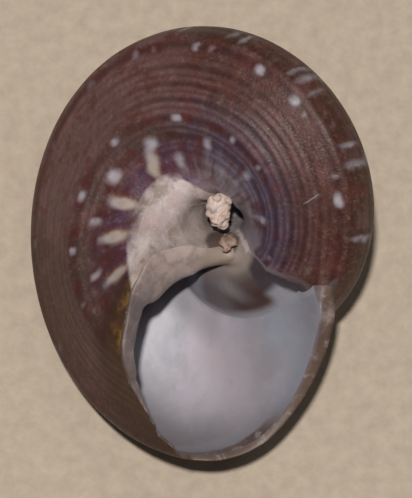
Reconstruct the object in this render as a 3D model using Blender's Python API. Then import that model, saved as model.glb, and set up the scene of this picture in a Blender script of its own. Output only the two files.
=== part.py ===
"""Top shell: one wound shell with an open aperture, an open umbilicus with two lumps of sea grit in it."""

import math

import bpy
import numpy as np

# Lengths in millimetres, angles in degrees. The shell frame has the winding axis on Z and the apex at 0,0,0.
WHORL_GROWTH = 1.72  # each whorl is this many times the one before
WIDEST_RADIUS = 11.8  # from the axis to the periphery, where the lip starts
SEAM_RADIUS = 11.61  # where the next whorl is attached, just below the periphery
SPIRE_HALF_ANGLE = 39.57
FLANK_BULGE = 1.99  # how far the side of a whorl stands out of the spire cone
PERIPHERY_RISE = 0.48  # the widest line above the seam
BASE_DEPTH = 2.14  # how far the base hangs below the seam
UMBILICUS_RADIUS = 3.03
UMBILICUS_RIM_RISE = 0.42
FLANK_STATIONS = ((0.18, 0.5), (0.42, 0.92), (0.68, 1.0))  # share of the cone, share of the bulge
BASE_STATIONS = ((0.95, 0.06), (0.84, 0.08), (0.70, -0.24), (0.55, -0.51), (0.40, 0.12))  # radius share, drop
UNEVENNESS = (0.006, 0.003, -0.008, 0.007)  # slow waves of the size round each whorl

# The lip: share of the way along the profile from suture to umbilicus, growth angle of the edge there.
LIP_EDGE = (
    (0.0, 12.2), (0.12, -19.0), (0.25, -35.5), (0.38, -47.0), (0.5, -58.5), (0.6, -66.0),
    (0.7, -71.5), (0.8, -70.0), (0.87, -62.0), (0.93, -47.0), (1.0, -33.6),
)
LIP_THICKNESS = 0.62
CORNER_FILL = 1.35  # nacre laid in the corner under the suture
COLUMELLA_THICKNESS = 1.15
COLUMELLA_CORNER = 0.55  # more of it where the columella meets the base
LIP_BEVEL = 2.2  # degrees that the inner edge lies behind the outer one

# The callus: a pad of enamel from the base down into the umbilicus, behind the inner lip.
PAD_FROM = 0.74  # share of the profile where the pad starts
PAD_EDGE = 0.93  # share of the profile that becomes its inner edge
PAD_EDGE_RADIUS = 0.55
PAD_EDGE_HEIGHT = -9.4
PAD_SHOULDER = 1.3
PAD_RUN_IN = 50.0  # degrees behind the lip over which it builds up
PAD_REACH = (-225.0, -300.0)  # growth angles where it starts to thin out and where it ends

# At rest the shell lies on the side of its spire: these shell directions end up along +Z and +Y.
REST_UP = (0.206288, -0.646408, -0.734576)
REST_NORTH = (-0.747568, -0.588494, 0.307923)

# Lumps of cemented grit in the umbilicus, in the row frame: centre, half sizes, pear shape, lean, phase
GRIT_LUMPS = {
    "grit_large": ((0.855, 1.422, 7.708), (0.52, 1.00, 0.42), 0.30, 26.0, 1.3),
    "grit_small": ((1.273, -0.037, 7.036), (0.42, 0.40, 0.34), 0.0, 21.0, 4.1),
}
GRIT_STEPS = (18, 12)
GRIT_ROUGHNESS = 0.11

# Mesh steps
TURN_ROWS = 32
SPIRE_TURNS = 4.6
UMBILICUS_TURNS = 1.9
CAVITY_TURNS = 1.9
FLANK_COLUMNS = 9
BASE_COLUMNS = 9
WALL_COLUMNS = 4
RIM_COLUMNS = 2  # across the thickness of the lip
PROFILE_SAMPLES = 400


def spline(knots, points, at):
    """Cubic spline through points (not-a-knot ends), read at the given places."""
    points = np.asarray(points, float)
    knots = np.asarray(knots, float)
    count = len(knots)
    step = np.diff(knots)
    slope = np.diff(points, axis=0) / step[:, None]
    matrix = np.zeros((count, count))
    right = np.zeros_like(points)
    for i in range(1, count - 1):
        matrix[i, i - 1 : i + 2] = step[i - 1], 2 * (step[i - 1] + step[i]), step[i]
        right[i] = 6 * (slope[i] - slope[i - 1])
    matrix[0, :3] = step[1], -(step[0] + step[1]), step[0]
    matrix[-1, -3:] = step[-1], -(step[-2] + step[-1]), step[-2]
    bend = np.linalg.solve(matrix, right)
    at = np.asarray(at, float)
    k = np.clip(np.searchsorted(knots, at, side="right") - 1, 0, count - 2)
    h = step[k][:, None]
    a = (knots[k + 1] - at)[:, None]
    b = (at - knots[k])[:, None]
    return (
        bend[k] * a**3 / (6 * h)
        + bend[k + 1] * b**3 / (6 * h)
        + (points[k] / h - bend[k] * h / 6) * a
        + (points[k + 1] / h - bend[k + 1] * h / 6) * b
    )


def chord_lengths(points):
    return np.r_[0.0, np.cumsum(np.hypot(*np.diff(points, axis=0).T))]


def smooth(x):
    x = np.clip(x, 0.0, 1.0)
    return x * x * (3 - 2 * x)


def whorl_profile():
    """The outer profile of a whorl in the half plane of the axis, and the shares of its seam and umbilical rim."""
    cone = math.radians(SPIRE_HALF_ANGLE)
    seam = np.array([SEAM_RADIUS, -SEAM_RADIUS / math.tan(cone)])
    suture = seam / WHORL_GROWTH
    outward = np.array([math.cos(cone), math.sin(cone)])
    points = [suture]
    for share, bulge in FLANK_STATIONS:
        points.append(suture + (seam - suture) * share + outward * FLANK_BULGE * bulge)
    points.append(np.array([WIDEST_RADIUS, seam[1] + PERIPHERY_RISE]))
    points.append(seam)
    for share, drop in BASE_STATIONS:
        across = max((share - UMBILICUS_RADIUS / WIDEST_RADIUS) / (0.985 - UMBILICUS_RADIUS / WIDEST_RADIUS), 0)
        fall = BASE_DEPTH * (1 - across**2) ** 0.75
        points.append(np.array([WIDEST_RADIUS * share, seam[1] - fall + drop]))
    rim = np.array([UMBILICUS_RADIUS, seam[1] - BASE_DEPTH + UMBILICUS_RIM_RISE])
    points += [rim + (0.25, 0.05), rim + (-0.02, 0.25)]
    inner_end = points[-1] / WHORL_GROWTH
    below = np.array([rim[0] * 0.93, rim[1] + 1.2])
    points += [below, (below + inner_end) / 2, inner_end]
    knots = chord_lengths(points)
    knots /= knots[-1]
    return knots, np.array(points), knots[5], knots[-4]


def columns(seam, rim, total):
    """Shares of the profile where the mesh has its columns, with the numbers of the seam and rim columns."""
    seam_gap = CORNER_FILL * WHORL_GROWTH / total
    rim_gap = COLUMELLA_THICKNESS * 1.5 / total
    parts = [
        np.linspace(0, seam, FLANK_COLUMNS + 1),
        seam + np.linspace(0, seam_gap, RIM_COLUMNS + 1)[1:],
        np.linspace(seam + seam_gap, rim - rim_gap, BASE_COLUMNS + 1)[1:],
        rim - np.linspace(rim_gap, 0, RIM_COLUMNS + 1)[1:],
        np.linspace(rim, 1, WALL_COLUMNS + 1)[1:],
    ]
    share = np.concatenate(parts)
    return share, FLANK_COLUMNS, len(share) - 1 - WALL_COLUMNS


def wound(point, angle):
    """Puts profile points on the spiral: growth angle in degrees, larger towards the lip."""
    size = WHORL_GROWTH ** (angle / 360.0)
    turn = -np.radians(angle)
    first, second, third, fourth = UNEVENNESS
    wave = first * np.cos(turn) - second * np.sin(turn) + third * np.cos(2 * turn) - fourth * np.sin(2 * turn)
    size = size * (1 + wave)
    radius = point[..., 0] * size
    return np.stack([radius * np.cos(turn), radius * np.sin(turn), point[..., 1] * size], -1)


def row_angles(share, rows, seam, rim):
    """Growth angle of each mesh point: the lip's shape fades out over the last whorl."""
    stations = np.array(LIP_EDGE)
    edge = spline(stations[:, 0], stations[:, 1:], share)[:, 0]
    start = LIP_EDGE[0][1]
    lag = LIP_EDGE[-1][1] - start
    fade = 1 - smooth(rows / TURN_ROWS)
    settled = lag * smooth((share - seam) / (rim - seam)) ** 1.5
    return start - rows[:, None] * 360.0 / TURN_ROWS + (edge - start) * fade[:, None] + settled * (1 - fade[:, None])


def inner_profile(knots, points, share, seam_column, rim_column):
    """The inner face of the wall: the outer profile moved in by the thickness, ending on the whorl before."""
    fine = np.linspace(0, 1, PROFILE_SAMPLES)
    outer = spline(knots, points, fine)
    along = np.gradient(outer, axis=0)
    along /= np.linalg.norm(along, axis=1)[:, None]
    inward = np.stack([along[:, 1], -along[:, 0]], -1)
    rim = share[rim_column]
    thick = LIP_THICKNESS + (COLUMELLA_THICKNESS - LIP_THICKNESS) * smooth((fine - rim + 0.16) / 0.2)
    thick += COLUMELLA_CORNER * np.exp(-(((fine - rim + 0.03) / 0.05) ** 2))
    thick += 0.5 * (CORNER_FILL - LIP_THICKNESS) * np.exp(-((fine / 0.09) ** 2))
    moved = outer + inward * thick[:, None]
    before = spline(knots, points, np.linspace(share[seam_column], rim, PROFILE_SAMPLES)) / WHORL_GROWTH
    ends = spline(knots, points, [share[seam_column + RIM_COLUMNS], share[rim_column - RIM_COLUMNS]]) / WHORL_GROWTH
    clear = np.array([np.hypot(*(before - p).T).min() for p in moved])
    far = (clear > 0.45) & (np.hypot(*(moved - ends[0]).T) > 0.6) & (np.hypot(*(moved - ends[1]).T) > 0.9)
    kept = moved[far][::12]
    path = np.vstack([ends[0], kept, ends[1]])
    length = chord_lengths(path)
    return spline(length, path, np.linspace(0, length[-1], len(share)))


def with_callus(outer, share, angles):
    """The outer profile at each row, with the callus laid over the umbilical side of the last whorl."""
    profile = np.repeat(outer[None], len(angles), axis=0)
    size = (WHORL_GROWTH ** (angles / 360.0))[..., None]
    start = spline(share, outer, [PAD_FROM])[0] * size
    end = outer[-1] * size
    edge = np.array([PAD_EDGE_RADIUS, PAD_EDGE_HEIGHT])
    out = ((share - PAD_FROM) / (PAD_EDGE - PAD_FROM)).clip(0, 1)[None, :, None]
    shoulder = start - (PAD_SHOULDER, 0.0)
    pad = (1 - out) ** 2 * start + 2 * out * (1 - out) * shoulder + out**2 * edge
    back = ((share - PAD_EDGE) / (1 - PAD_EDGE)).clip(0, 1)[None, :, None]
    turn_in = edge + (edge - shoulder) * 0.12
    under = (1 - back) ** 2 * edge + 2 * back * (1 - back) * turn_in + back**2 * end
    pad = np.where(back > 0, under, pad) / size
    on = smooth((angles - PAD_REACH[1]) / (PAD_REACH[0] - PAD_REACH[1])) * (share >= PAD_FROM)
    on *= smooth((angles[0] - angles) / PAD_RUN_IN)
    return profile + (pad - profile) * on[..., None]


def shell_mesh():
    knots, points, seam_at, rim_at = whorl_profile()
    share, seam, rim = columns(seam_at, rim_at, chord_lengths(points)[-1])
    last = len(share) - 1
    outer = spline(knots, points, share)
    inner = inner_profile(knots, points, share, seam, rim)
    spire_rows = round(SPIRE_TURNS * TURN_ROWS)
    cavity_rows = round(CAVITY_TURNS * TURN_ROWS)
    umbilicus_rows = round(UMBILICUS_TURNS * TURN_ROWS)
    rows = np.arange(spire_rows + TURN_ROWS + 1)
    angles = row_angles(share, rows, seam_at, rim_at)
    skin = wound(with_callus(outer, share, angles), angles)
    lining = wound(inner[None], angles[: cavity_rows + 1])

    verts, index = [], {}

    def skin_point(column, row):
        if column == 0:
            column, row = seam, row + TURN_ROWS
        elif column == last:
            column, row = rim, row + TURN_ROWS
        key = ("skin", column, row)
        if key not in index:
            index[key] = len(verts)
            verts.append(skin[row, column])
        return index[key]

    def lining_point(column, row):
        if column == 0:
            return skin_point(seam + RIM_COLUMNS, row + TURN_ROWS)
        if column == last:
            return skin_point(rim - RIM_COLUMNS, row + TURN_ROWS)
        key = ("lining", column, row)
        if key not in index:
            index[key] = len(verts)
            verts.append(lining[row, column])
        return index[key]

    def rim_point(column, across):
        if across == 0:
            return skin_point(column, 0)
        if across == RIM_COLUMNS:
            return lining_point(column, 0)
        if column == 0:
            return skin_point(seam + across, TURN_ROWS)
        if column == last:
            return skin_point(rim - across, TURN_ROWS)
        key = ("rim", column, across)
        if key not in index:
            index[key] = len(verts)
            part = across / RIM_COLUMNS
            verts.append(skin[0, column] * (1 - part) + lining[0, column] * part + edge_lift[column])
        return index[key]

    # the lining starts a little behind the edge, and the face between bulges forward
    ends = smooth(np.minimum(np.arange(last + 1), last - np.arange(last + 1)) / 3.0)
    lining[0] = wound(inner, angles[0] - LIP_BEVEL * ends)
    ahead = wound(outer, angles[0] + 1.0) - wound(outer, angles[0])
    ahead /= np.linalg.norm(ahead, axis=1)[:, None]
    edge_lift = ahead * (0.14 * ends)[:, None]

    faces = []

    def sheet(point, first_column, end_column, first_row, end_row, flip=False):
        for row in range(first_row, end_row):
            for column in range(first_column, end_column):
                face = [point(column, row), point(column + 1, row)]
                face += [point(column + 1, row + 1), point(column, row + 1)]
                face = list(dict.fromkeys(face))
                if len(face) > 2:
                    faces.append(face[::-1] if flip else face)

    sheet(skin_point, 0, last, 0, TURN_ROWS)
    sheet(skin_point, 0, seam, TURN_ROWS, spire_rows)
    sheet(skin_point, rim, last, TURN_ROWS, umbilicus_rows)
    sheet(skin_point, seam + RIM_COLUMNS, rim - RIM_COLUMNS, TURN_ROWS, TURN_ROWS + cavity_rows)
    sheet(lining_point, 0, last, 0, cavity_rows, flip=True)
    for column in range(last):
        for across in range(RIM_COLUMNS):
            face = [rim_point(column, across), rim_point(column, across + 1)]
            face += [rim_point(column + 1, across + 1), rim_point(column + 1, across)]
            face = list(dict.fromkeys(face))
            if len(face) > 2:
                faces.append(face)

    def fan(loop, centre, flip=False):
        index[("centre", len(verts))] = len(verts)
        verts.append(centre)
        middle = len(verts) - 1
        for a, b in zip(loop, loop[1:] + loop[:1]):
            if a != b:
                faces.append([middle, b, a] if flip else [middle, a, b])

    apex_loop = [skin_point(c, spire_rows) for c in range(seam, 0, -1)]
    apex_loop += [skin_point(0, r) for r in range(spire_rows, spire_rows - TURN_ROWS, -1)]
    apex_loop = list(dict.fromkeys(apex_loop))
    apex = np.mean([verts[i] for i in apex_loop], axis=0)
    apex[2] = verts[skin_point(0, spire_rows)][2] * 0.55
    fan(apex_loop, apex, flip=True)
    pit_loop = [skin_point(c, umbilicus_rows) for c in range(rim, last)]
    pit_loop += [skin_point(last, r) for r in range(umbilicus_rows, umbilicus_rows - TURN_ROWS, -1)]
    pit_loop = list(dict.fromkeys(pit_loop))
    fan(pit_loop, np.mean([verts[i] for i in pit_loop], axis=0))
    end_loop = [lining_point(c, cavity_rows) for c in range(last)]
    end_loop += [skin_point(c, cavity_rows + TURN_ROWS) for c in range(rim - RIM_COLUMNS, seam + RIM_COLUMNS, -1)]
    end_loop = list(dict.fromkeys(end_loop))
    fan(end_loop, np.mean([verts[i] for i in end_loop], axis=0), flip=True)
    return np.array(verts), faces


def at_rest(points):
    """Turns shell points to the resting pose, with the middle of the footprint at 0,0 and the lowest point at 0."""
    up = np.array(REST_UP) / np.linalg.norm(REST_UP)
    north = np.array(REST_NORTH) - up * np.dot(REST_NORTH, up)
    north /= np.linalg.norm(north)
    turned = points @ np.array([np.cross(north, up), north, up]).T
    low, high = turned.min(axis=0), turned.max(axis=0)
    return turned - ((low[0] + high[0]) / 2, (low[1] + high[1]) / 2, low[2])


def grit_mesh(centre, half, pear, lean, phase):
    """A knobbly lump: rings from pole to pole along Y, narrower towards -Y by the pear share."""
    around, rings = GRIT_STEPS
    verts = [np.array([0.0, -1.0, 0.0])]
    for ring in range(1, rings):
        polar = math.pi * ring / rings
        for step in range(around):
            turn = 2 * math.pi * step / around
            width = math.sin(polar)
            verts.append(np.array([width * math.cos(turn), -math.cos(polar), width * math.sin(turn)]))
    verts.append(np.array([0.0, 1.0, 0.0]))
    placed = []
    for v in verts:
        knobs = math.sin(5.1 * v[0] + phase) * math.sin(4.3 * v[1] + 2 * phase)
        knobs += math.sin(6.7 * v[2] + 3.1 * v[1] - phase)
        knobs += 0.6 * math.sin(9.3 * v[1] + 5.9 * v[0] + 1.7 * phase)
        v = v * (1 + GRIT_ROUGHNESS * knobs)
        width = 1 - pear * (0.5 - 0.5 * v[1])
        placed.append(np.array([v[0] * width, v[1], v[2] * width]) * half)
    turn = math.radians(lean)
    placed = np.array(placed)
    y = placed[:, 1] * math.cos(turn) - placed[:, 2] * math.sin(turn)
    z = placed[:, 1] * math.sin(turn) + placed[:, 2] * math.cos(turn)
    placed = np.stack([placed[:, 0], y, z], -1) + centre
    faces = []
    top = len(verts) - 1
    for step in range(around):
        after = (step + 1) % around
        faces.append([0, 1 + step, 1 + after])
        faces.append([top, top - around + after, top - around + step])
        for ring in range(rings - 2):
            a, b = 1 + ring * around, 1 + (ring + 1) * around
            faces.append([a + step, b + step, b + after, a + after])
    return placed, faces


def add_object(name, verts, faces, colour):
    mesh = bpy.data.meshes.new(name)
    mesh.from_pydata([tuple(v) for v in verts], [], faces)
    mesh.validate()
    mesh.polygons.foreach_set("use_smooth", [True] * len(mesh.polygons))
    material = bpy.data.materials.new(name)
    material.use_nodes = True
    shader = material.node_tree.nodes["Principled BSDF"]
    shader.inputs["Base Color"].default_value = (*colour, 1)
    shader.inputs["Roughness"].default_value = 0.4
    mesh.materials.append(material)
    item = bpy.data.objects.new(name, mesh)
    bpy.context.scene.collection.objects.link(item)
    return item


for item in list(bpy.data.objects):
    bpy.data.objects.remove(item, do_unlink=True)

shell_verts, shell_faces = shell_mesh()
add_object("shell", at_rest(shell_verts) * 0.001, shell_faces, (0.12, 0.06, 0.05))
for name, values in GRIT_LUMPS.items():
    lump_verts, lump_faces = grit_mesh(*values)
    add_object(name, lump_verts * 0.001, lump_faces, (0.62, 0.50, 0.44))
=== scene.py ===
import math

import bpy
import numpy as np
from mathutils import Matrix, Vector


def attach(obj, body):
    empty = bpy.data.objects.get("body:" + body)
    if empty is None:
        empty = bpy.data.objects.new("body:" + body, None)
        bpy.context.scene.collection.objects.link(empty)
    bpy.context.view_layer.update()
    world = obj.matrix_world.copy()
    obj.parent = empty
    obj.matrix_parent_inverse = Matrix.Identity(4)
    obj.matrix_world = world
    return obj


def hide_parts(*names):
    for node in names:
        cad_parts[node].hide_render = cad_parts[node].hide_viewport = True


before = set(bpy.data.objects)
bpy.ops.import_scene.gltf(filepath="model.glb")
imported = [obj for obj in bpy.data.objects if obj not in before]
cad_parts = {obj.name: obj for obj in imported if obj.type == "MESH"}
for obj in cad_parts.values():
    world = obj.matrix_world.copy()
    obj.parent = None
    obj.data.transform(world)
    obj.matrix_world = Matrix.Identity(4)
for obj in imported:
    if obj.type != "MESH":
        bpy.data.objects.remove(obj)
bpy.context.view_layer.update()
print("frame loaded:", ", ".join(sorted(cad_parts)))
mm = 0.001  # in metres


def linear(hexColour):
    # sRGB hex to the linear RGBA that nodes take
    parts = [int(hexColour[i : i + 2], 16) / 255 for i in (1, 3, 5)]
    return (*(c / 12.92 if c <= 0.04045 else ((c + 0.055) / 1.055) ** 2.4 for c in parts), 1.0)


def fillInputs(tree, node, inputs):
    # a socket is linked, a value is set, and a hex colour is made linear first
    for key, value in inputs.items():
        if isinstance(value, bpy.types.NodeSocket):
            tree.links.new(value, node.inputs[key])
        else:
            isColour = isinstance(value, str) and value.startswith("#")
            node.inputs[key].default_value = linear(value) if isColour else value


def addNode(tree, kind, inputs=(), out=0, stops=(), points=(), **settings):
    # inputs go in socket order or by name, out is the output handed back, or None for the node itself
    # stops shape a colour ramp, and points a float curve
    node = tree.nodes.new(kind)
    for name, value in settings.items():
        setattr(node, name, value)
    fillInputs(tree, node, inputs if isinstance(inputs, dict) else dict(enumerate(inputs)))
    for number, (at, colour) in enumerate(stops):
        element = node.color_ramp.elements[number] if number < 2 else node.color_ramp.elements.new(at)
        element.position, element.color = at, linear(colour)
    for number, (x, y) in enumerate(points):
        curve = node.mapping.curves[0].points
        point = curve[number] if number < 2 else curve.new(x, y)
        point.location, point.handle_type = (x, y), "VECTOR"
    if points:
        node.mapping.extend = "HORIZONTAL"
        node.mapping.update()
    return node if out is None else node.outputs[out]


def softRegion(tree, *limits):
    # the product of shares from 0 to 1: a limit is a share, or (measure, outside, inside) for a soft step
    region = None
    for limit in limits:
        if isinstance(limit, tuple):
            measure, outside, inside = limit
            step = {"Value": measure, 1: outside, 2: inside}
            limit = addNode(tree, "ShaderNodeMapRange", step, interpolation_type="SMOOTHSTEP")
        both = (region, limit)
        region = limit if region is None else addNode(tree, "ShaderNodeMath", both, operation="MULTIPLY")
    return region


def paintOver(tree, under, *coats):
    # lays coats over a colour: each has the limits of its region, then its own colour, then its strength
    for *limits, coat, strength in coats:
        share = addNode(tree, "ShaderNodeMath", (softRegion(tree, *limits), strength), operation="MULTIPLY")
        under = addNode(tree, "ShaderNodeMix", {0: share, 6: under, 7: coat}, out=2, data_type="RGBA")
    return under


def awayFrom(tree, place, centre, scale):
    # distance from a centre after the two directions have been scaled
    away = addNode(tree, "ShaderNodeVectorMath", (place, centre), operation="SUBTRACT")
    away = addNode(tree, "ShaderNodeVectorMath", (away, scale), operation="MULTIPLY")
    return addNode(tree, "ShaderNodeVectorMath", (away,), out="Value", operation="LENGTH")


def startTree(name, values):
    # a tree with a mesh in and out, and a named input for each value, which comes back by socket identifier
    tree = bpy.data.node_groups.new(name, "GeometryNodeTree")
    for direction in ("INPUT", "OUTPUT"):
        tree.interface.new_socket("Geometry", in_out=direction, socket_type="NodeSocketGeometry")
    kinds = {float: "NodeSocketFloat", int: "NodeSocketInt", tuple: "NodeSocketVector"}
    filled = {}
    for key, value in values.items():
        socket = tree.interface.new_socket(key, in_out="INPUT", socket_type=kinds[type(value)])
        filled[socket.identifier] = value
    return tree, filled, addNode(tree, "NodeGroupInput", out=None).outputs


# millimetres and degrees, wound round Z from an apex at 0,0,0 until the shell is laid down
shellShape = {
    "whorlGrowth": 1.72,  # how many times larger after each turn
    "widestRadius": 11.8,
    "seamRadius": 11.61,
    "spireHalfAngle": 39.57,
    "flankBulge": 1.99,
    "peripheryRise": 0.48,
    "baseDepth": 2.14,
    "umbilicusRadius": 3.03,
    "umbilicusRimRise": 0.42,
    "umbilicusFunnel": 1.1,  # how far its wall leans in under the rim
    "rimRounding": ((0.25, 0.05), (-0.02, 0.25)),  # steps from the rim of the umbilicus over its edge
    "wallBelowRim": (0.93, 1.2),  # share of the rim's radius and depth under it
    "baseRound": (0.985, 0.75),  # where the base starts to fall, and the power of its fall
    # flank: share of the way from suture to seam, and share of the bulge
    "flankStations": ((0.18, 0.5), (0.42, 0.92), (0.68, 1.0)),
    # base: share of the widest radius, and how far it stands up from the plain round
    "baseStations": ((0.95, 0.06), (0.84, 0.08), (0.70, -0.24), (0.55, -0.51), (0.40, 0.12)),
    # waves in the growth: cosine and sine once round, then cosine and sine twice round
    "unevenness": (0.006, 0.003, -0.008, 0.007),
    # outline of the lip, as growth angle at each share of the profile
    "lipEdge": (
        (0.0, 12.2), (0.12, -19.0), (0.25, -36.8), (0.38, -48.2), (0.5, -57.4), (0.6, -63.8), (0.7, -70.4),
        (0.8, -69.5), (0.87, -60.5), (0.93, -43.0), (1.0, -24.0),
    ),
    # wall thickness and how far back the inner edge of the lip lies in degrees, at each profile distance
    "wall": (
        (0, 0.66, 1.6), (1, 0.62, 2.0), (2, 0.5, 2.0), (3.2, 0.38, 2.0), (5, 0.3, 1.5), (8, 0.28, 1.0),
        (9.5, 0.22, 0.8), (11.2, 0.2, 0.6), (12.3, 0.4, 0.4), (13.5, 0.82, 0.0), (15, 1.1, 0.0),
        (16.3, 1.3, 0.0), (17.3, 1.9, 0.2), (18.3, 2.6, 0.5), (19.6, 2.1, 1.0), (20.9, 1.05, 1.6),
        (22, 0.9, 2.0), (23.2, 1.05, 2.2), (25, 1.15, 2.2),
    ),
    "seamFill": (0.36, 0.09),  # extra thickness at the seam and the share of the profile that it fades over
    # how far the lining keeps from the whorl before, from the two corners, and from the skin as a share
    "innerClearance": (0.45, 0.6, 0.9, 0.96),
    "cornerFade": 0.11,  # share of the profile over which the lip thins out at its two ends
    "cornerFill": 1.35,  # width of the corner under the seam
    "columellaThickness": 1.15,
    "joinRadius": (1.3, 2.3),  # how far the two ends of the lip are blended into the whorl before
    "joinPasses": 80,  # how many times those corners are smoothed
    "cornerReach": 3.6,  # how far along the lining its corner with the whorl before is rounded
    "cornerStart": 14.0,  # degrees behind the lip at which that rounding is full
    "cornerSoftness": 0.8,
    "lipRoundness": 0.3,  # how far the lip bulges forward, as a share of its thickness
    "lipMaxBulge": 0.35,
    "padFrom": 0.74,  # share of the profile where the callus starts
    "padEdge": 0.93,  # and where its edge over the umbilicus lies
    # at each growth angle
    "padEdgeRadius": ((-300, 0.5), (-165, 0.55), (-140, 0.75), (-110, 1.0), (-60, 1.15)),
    "padEdgeHeight": -9.4,
    "padShoulder": 1.3,
    "padTurnIn": 0.12,
    "padRunIn": 50.0,  # degrees behind the lip over which it rises
    "padReach": (-225.0, -300.0),  # growth angles between which the callus thins out to nothing
    # directions of the wound shell that point up and north at rest, and the shift onto the table
    "restUp": (0.206288, -0.646408, -0.734576),
    "restNorth": (-0.747568, -0.588494, 0.307923),
    "restOffset": (6.3894, 4.4181, 0.0),
    # where the enamel of the callus begins, as profile distance at each growth angle
    "callusLine": (
        (-420, 25.0), (-330, 24.0), (-300, 22.6), (-270, 20.8), (-240, 19.4), (-215, 18.55), (-195, 18.25),
        (-160, 18.2), (-120, 18.25), (-90, 18.3), (-75, 18.0), (-60, 17.2),
    ),
    # where the glaze inside the mouth ends on the whorl before, as growth angle at each profile distance
    "glazeLine": (
        (8.0, -345), (9.5, -347), (11.5, -355), (13.5, -358), (15.5, -362), (16.5, -366), (18.0, -375),
        (19.5, -390),
    ),
    # share of the profile, half width and depth in degrees of each chip in the lip
    "lipChips": (
        (0.335, 0.012, 2.2), (0.365, 0.008, 1.4), (0.41, 0.014, 2.6), (0.44, 0.007, 1.2), (0.52, 0.01, 0.9),
    ),
    "lagPower": 1.5,  # how slowly the lag of the umbilical side sets in over the base
    "chipRows": 4,  # mesh rows over which the chips fade out behind the lip
    "apexHeight": 0.55,  # as a share of the height of the last ring round it
    # how finely the mesh is laid: rows in a turn, turns of each surface, columns over parts of the profile
    "turnRows": 144,
    "spireTurns": 4.6,
    "umbilicusTurns": 1.9,
    "cavityTurns": 1.1,
    "flankColumns": 52,
    "baseColumns": 56,
    "wallColumns": 34,
    "rimColumns": 8,
}


def spline(knots, points, at):
    # cubic spline through points (not-a-knot ends), read at the given places
    points, knots, at = np.asarray(points, float), np.asarray(knots, float), np.asarray(at, float)
    count, step = len(knots), np.diff(knots)
    slope = np.diff(points, axis=0) / step[:, None]
    matrix, right = np.zeros((count, count)), np.zeros_like(points)
    for i in range(1, count - 1):
        matrix[i, i - 1 : i + 2] = step[i - 1], 2 * (step[i - 1] + step[i]), step[i]
        right[i] = 6 * (slope[i] - slope[i - 1])
    matrix[0, :3] = step[1], -(step[0] + step[1]), step[0]
    matrix[-1, -3:] = step[-1], -(step[-2] + step[-1]), step[-2]
    bend = np.linalg.solve(matrix, right)
    k = np.clip(np.searchsorted(knots, at, side="right") - 1, 0, count - 2)
    h, a, b = step[k][:, None], (knots[k + 1] - at)[:, None], (at - knots[k])[:, None]
    return (
        bend[k] * a**3 / (6 * h) + bend[k + 1] * b**3 / (6 * h)
        + (points[k] / h - bend[k] * h / 6) * a + (points[k + 1] / h - bend[k + 1] * h / 6) * b
    )


def chordLengths(points):
    return np.r_[0.0, np.cumsum(np.hypot(*np.diff(points, axis=0).T))]


def smooth(x):
    x = np.clip(x, 0.0, 1.0)
    return x * x * (3 - 2 * x)


def whorlProfile(s):
    # the outer profile of a whorl in the half plane of the axis, with the shares of its seam and its rim
    cone = math.radians(s["spireHalfAngle"])
    seam = np.array([s["seamRadius"], -s["seamRadius"] / math.tan(cone)])
    suture = seam / s["whorlGrowth"]
    outward = np.array([math.cos(cone), math.sin(cone)])
    points = [suture]
    points += [suture + (seam - suture) * share + outward * s["flankBulge"] * bulge
               for share, bulge in s["flankStations"]]
    points += [np.array([s["widestRadius"], seam[1] + s["peripheryRise"]]), seam]
    hole, (start, power) = s["umbilicusRadius"] / s["widestRadius"], s["baseRound"]
    for share, drop in s["baseStations"]:
        fall = s["baseDepth"] * (1 - max((share - hole) / (start - hole), 0) ** 2) ** power
        points.append(np.array([s["widestRadius"] * share, seam[1] - fall + drop]))
    rim = np.array([s["umbilicusRadius"], seam[1] - s["baseDepth"] + s["umbilicusRimRise"]])
    points += [rim + step for step in s["rimRounding"]]
    innerEnd = points[-1] / s["whorlGrowth"]
    below = np.array([rim[0] * s["wallBelowRim"][0], rim[1] + s["wallBelowRim"][1]])
    points += [below, (below + innerEnd) / 2, innerEnd]
    knots = chordLengths(points)
    return knots / knots[-1], np.array(points), knots[5] / knots[-1], knots[-4] / knots[-1]


def columnShares(s, seam, rim, total):
    seamGap = s["cornerFill"] * s["whorlGrowth"] / total
    rimGap = s["columellaThickness"] * 1.5 / total
    share = np.concatenate([
        np.linspace(0, seam, s["flankColumns"] + 1),
        seam + np.linspace(0, seamGap, s["rimColumns"] + 1)[1:],
        np.linspace(seam + seamGap, rim - rimGap, s["baseColumns"] + 1)[1:],
        rim - np.linspace(rimGap, 0, s["rimColumns"] + 1)[1:],
        np.linspace(rim, 1, s["wallColumns"] + 1)[1:],
    ])
    return share, s["flankColumns"], len(share) - 1 - s["wallColumns"]


def sizeAt(s, angle):
    turn = -np.radians(angle)
    first, second, third, fourth = s["unevenness"]
    wave = first * np.cos(turn) - second * np.sin(turn) + third * np.cos(2 * turn) - fourth * np.sin(2 * turn)
    return s["whorlGrowth"] ** (angle / 360.0) * (1 + wave)


def woundPlaces(s, points):
    # radius, height and growth angle turned into places round the axis
    size, turned = sizeAt(s, points[:, 2]), -np.radians(points[:, 2])
    radius = points[:, 0] * size
    return np.stack([radius * np.cos(turned), radius * np.sin(turned), points[:, 1] * size], -1)


def rowAngles(s, share, rows, seam, rim):
    # growth angle of each mesh point: the lip's outline fades out over the last whorl
    stations = np.array(s["lipEdge"])
    edge = spline(stations[:, 0], stations[:, 1:], share)[:, 0]
    start, lag = s["lipEdge"][0][1], s["lipEdge"][-1][1] - s["lipEdge"][0][1]
    fade = (1 - smooth(rows / s["turnRows"]))[:, None]
    settled = lag * smooth((share - seam) / (rim - seam)) ** s["lagPower"]
    angles = start - rows[:, None] * 360.0 / s["turnRows"] + (edge - start) * fade + settled * (1 - fade)
    chips = sum(depth * np.exp(-(((share - at) / width) ** 2)) for at, width, depth in s["lipChips"])
    return angles - chips * (1 - smooth(rows / s["chipRows"]))[:, None]


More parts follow.
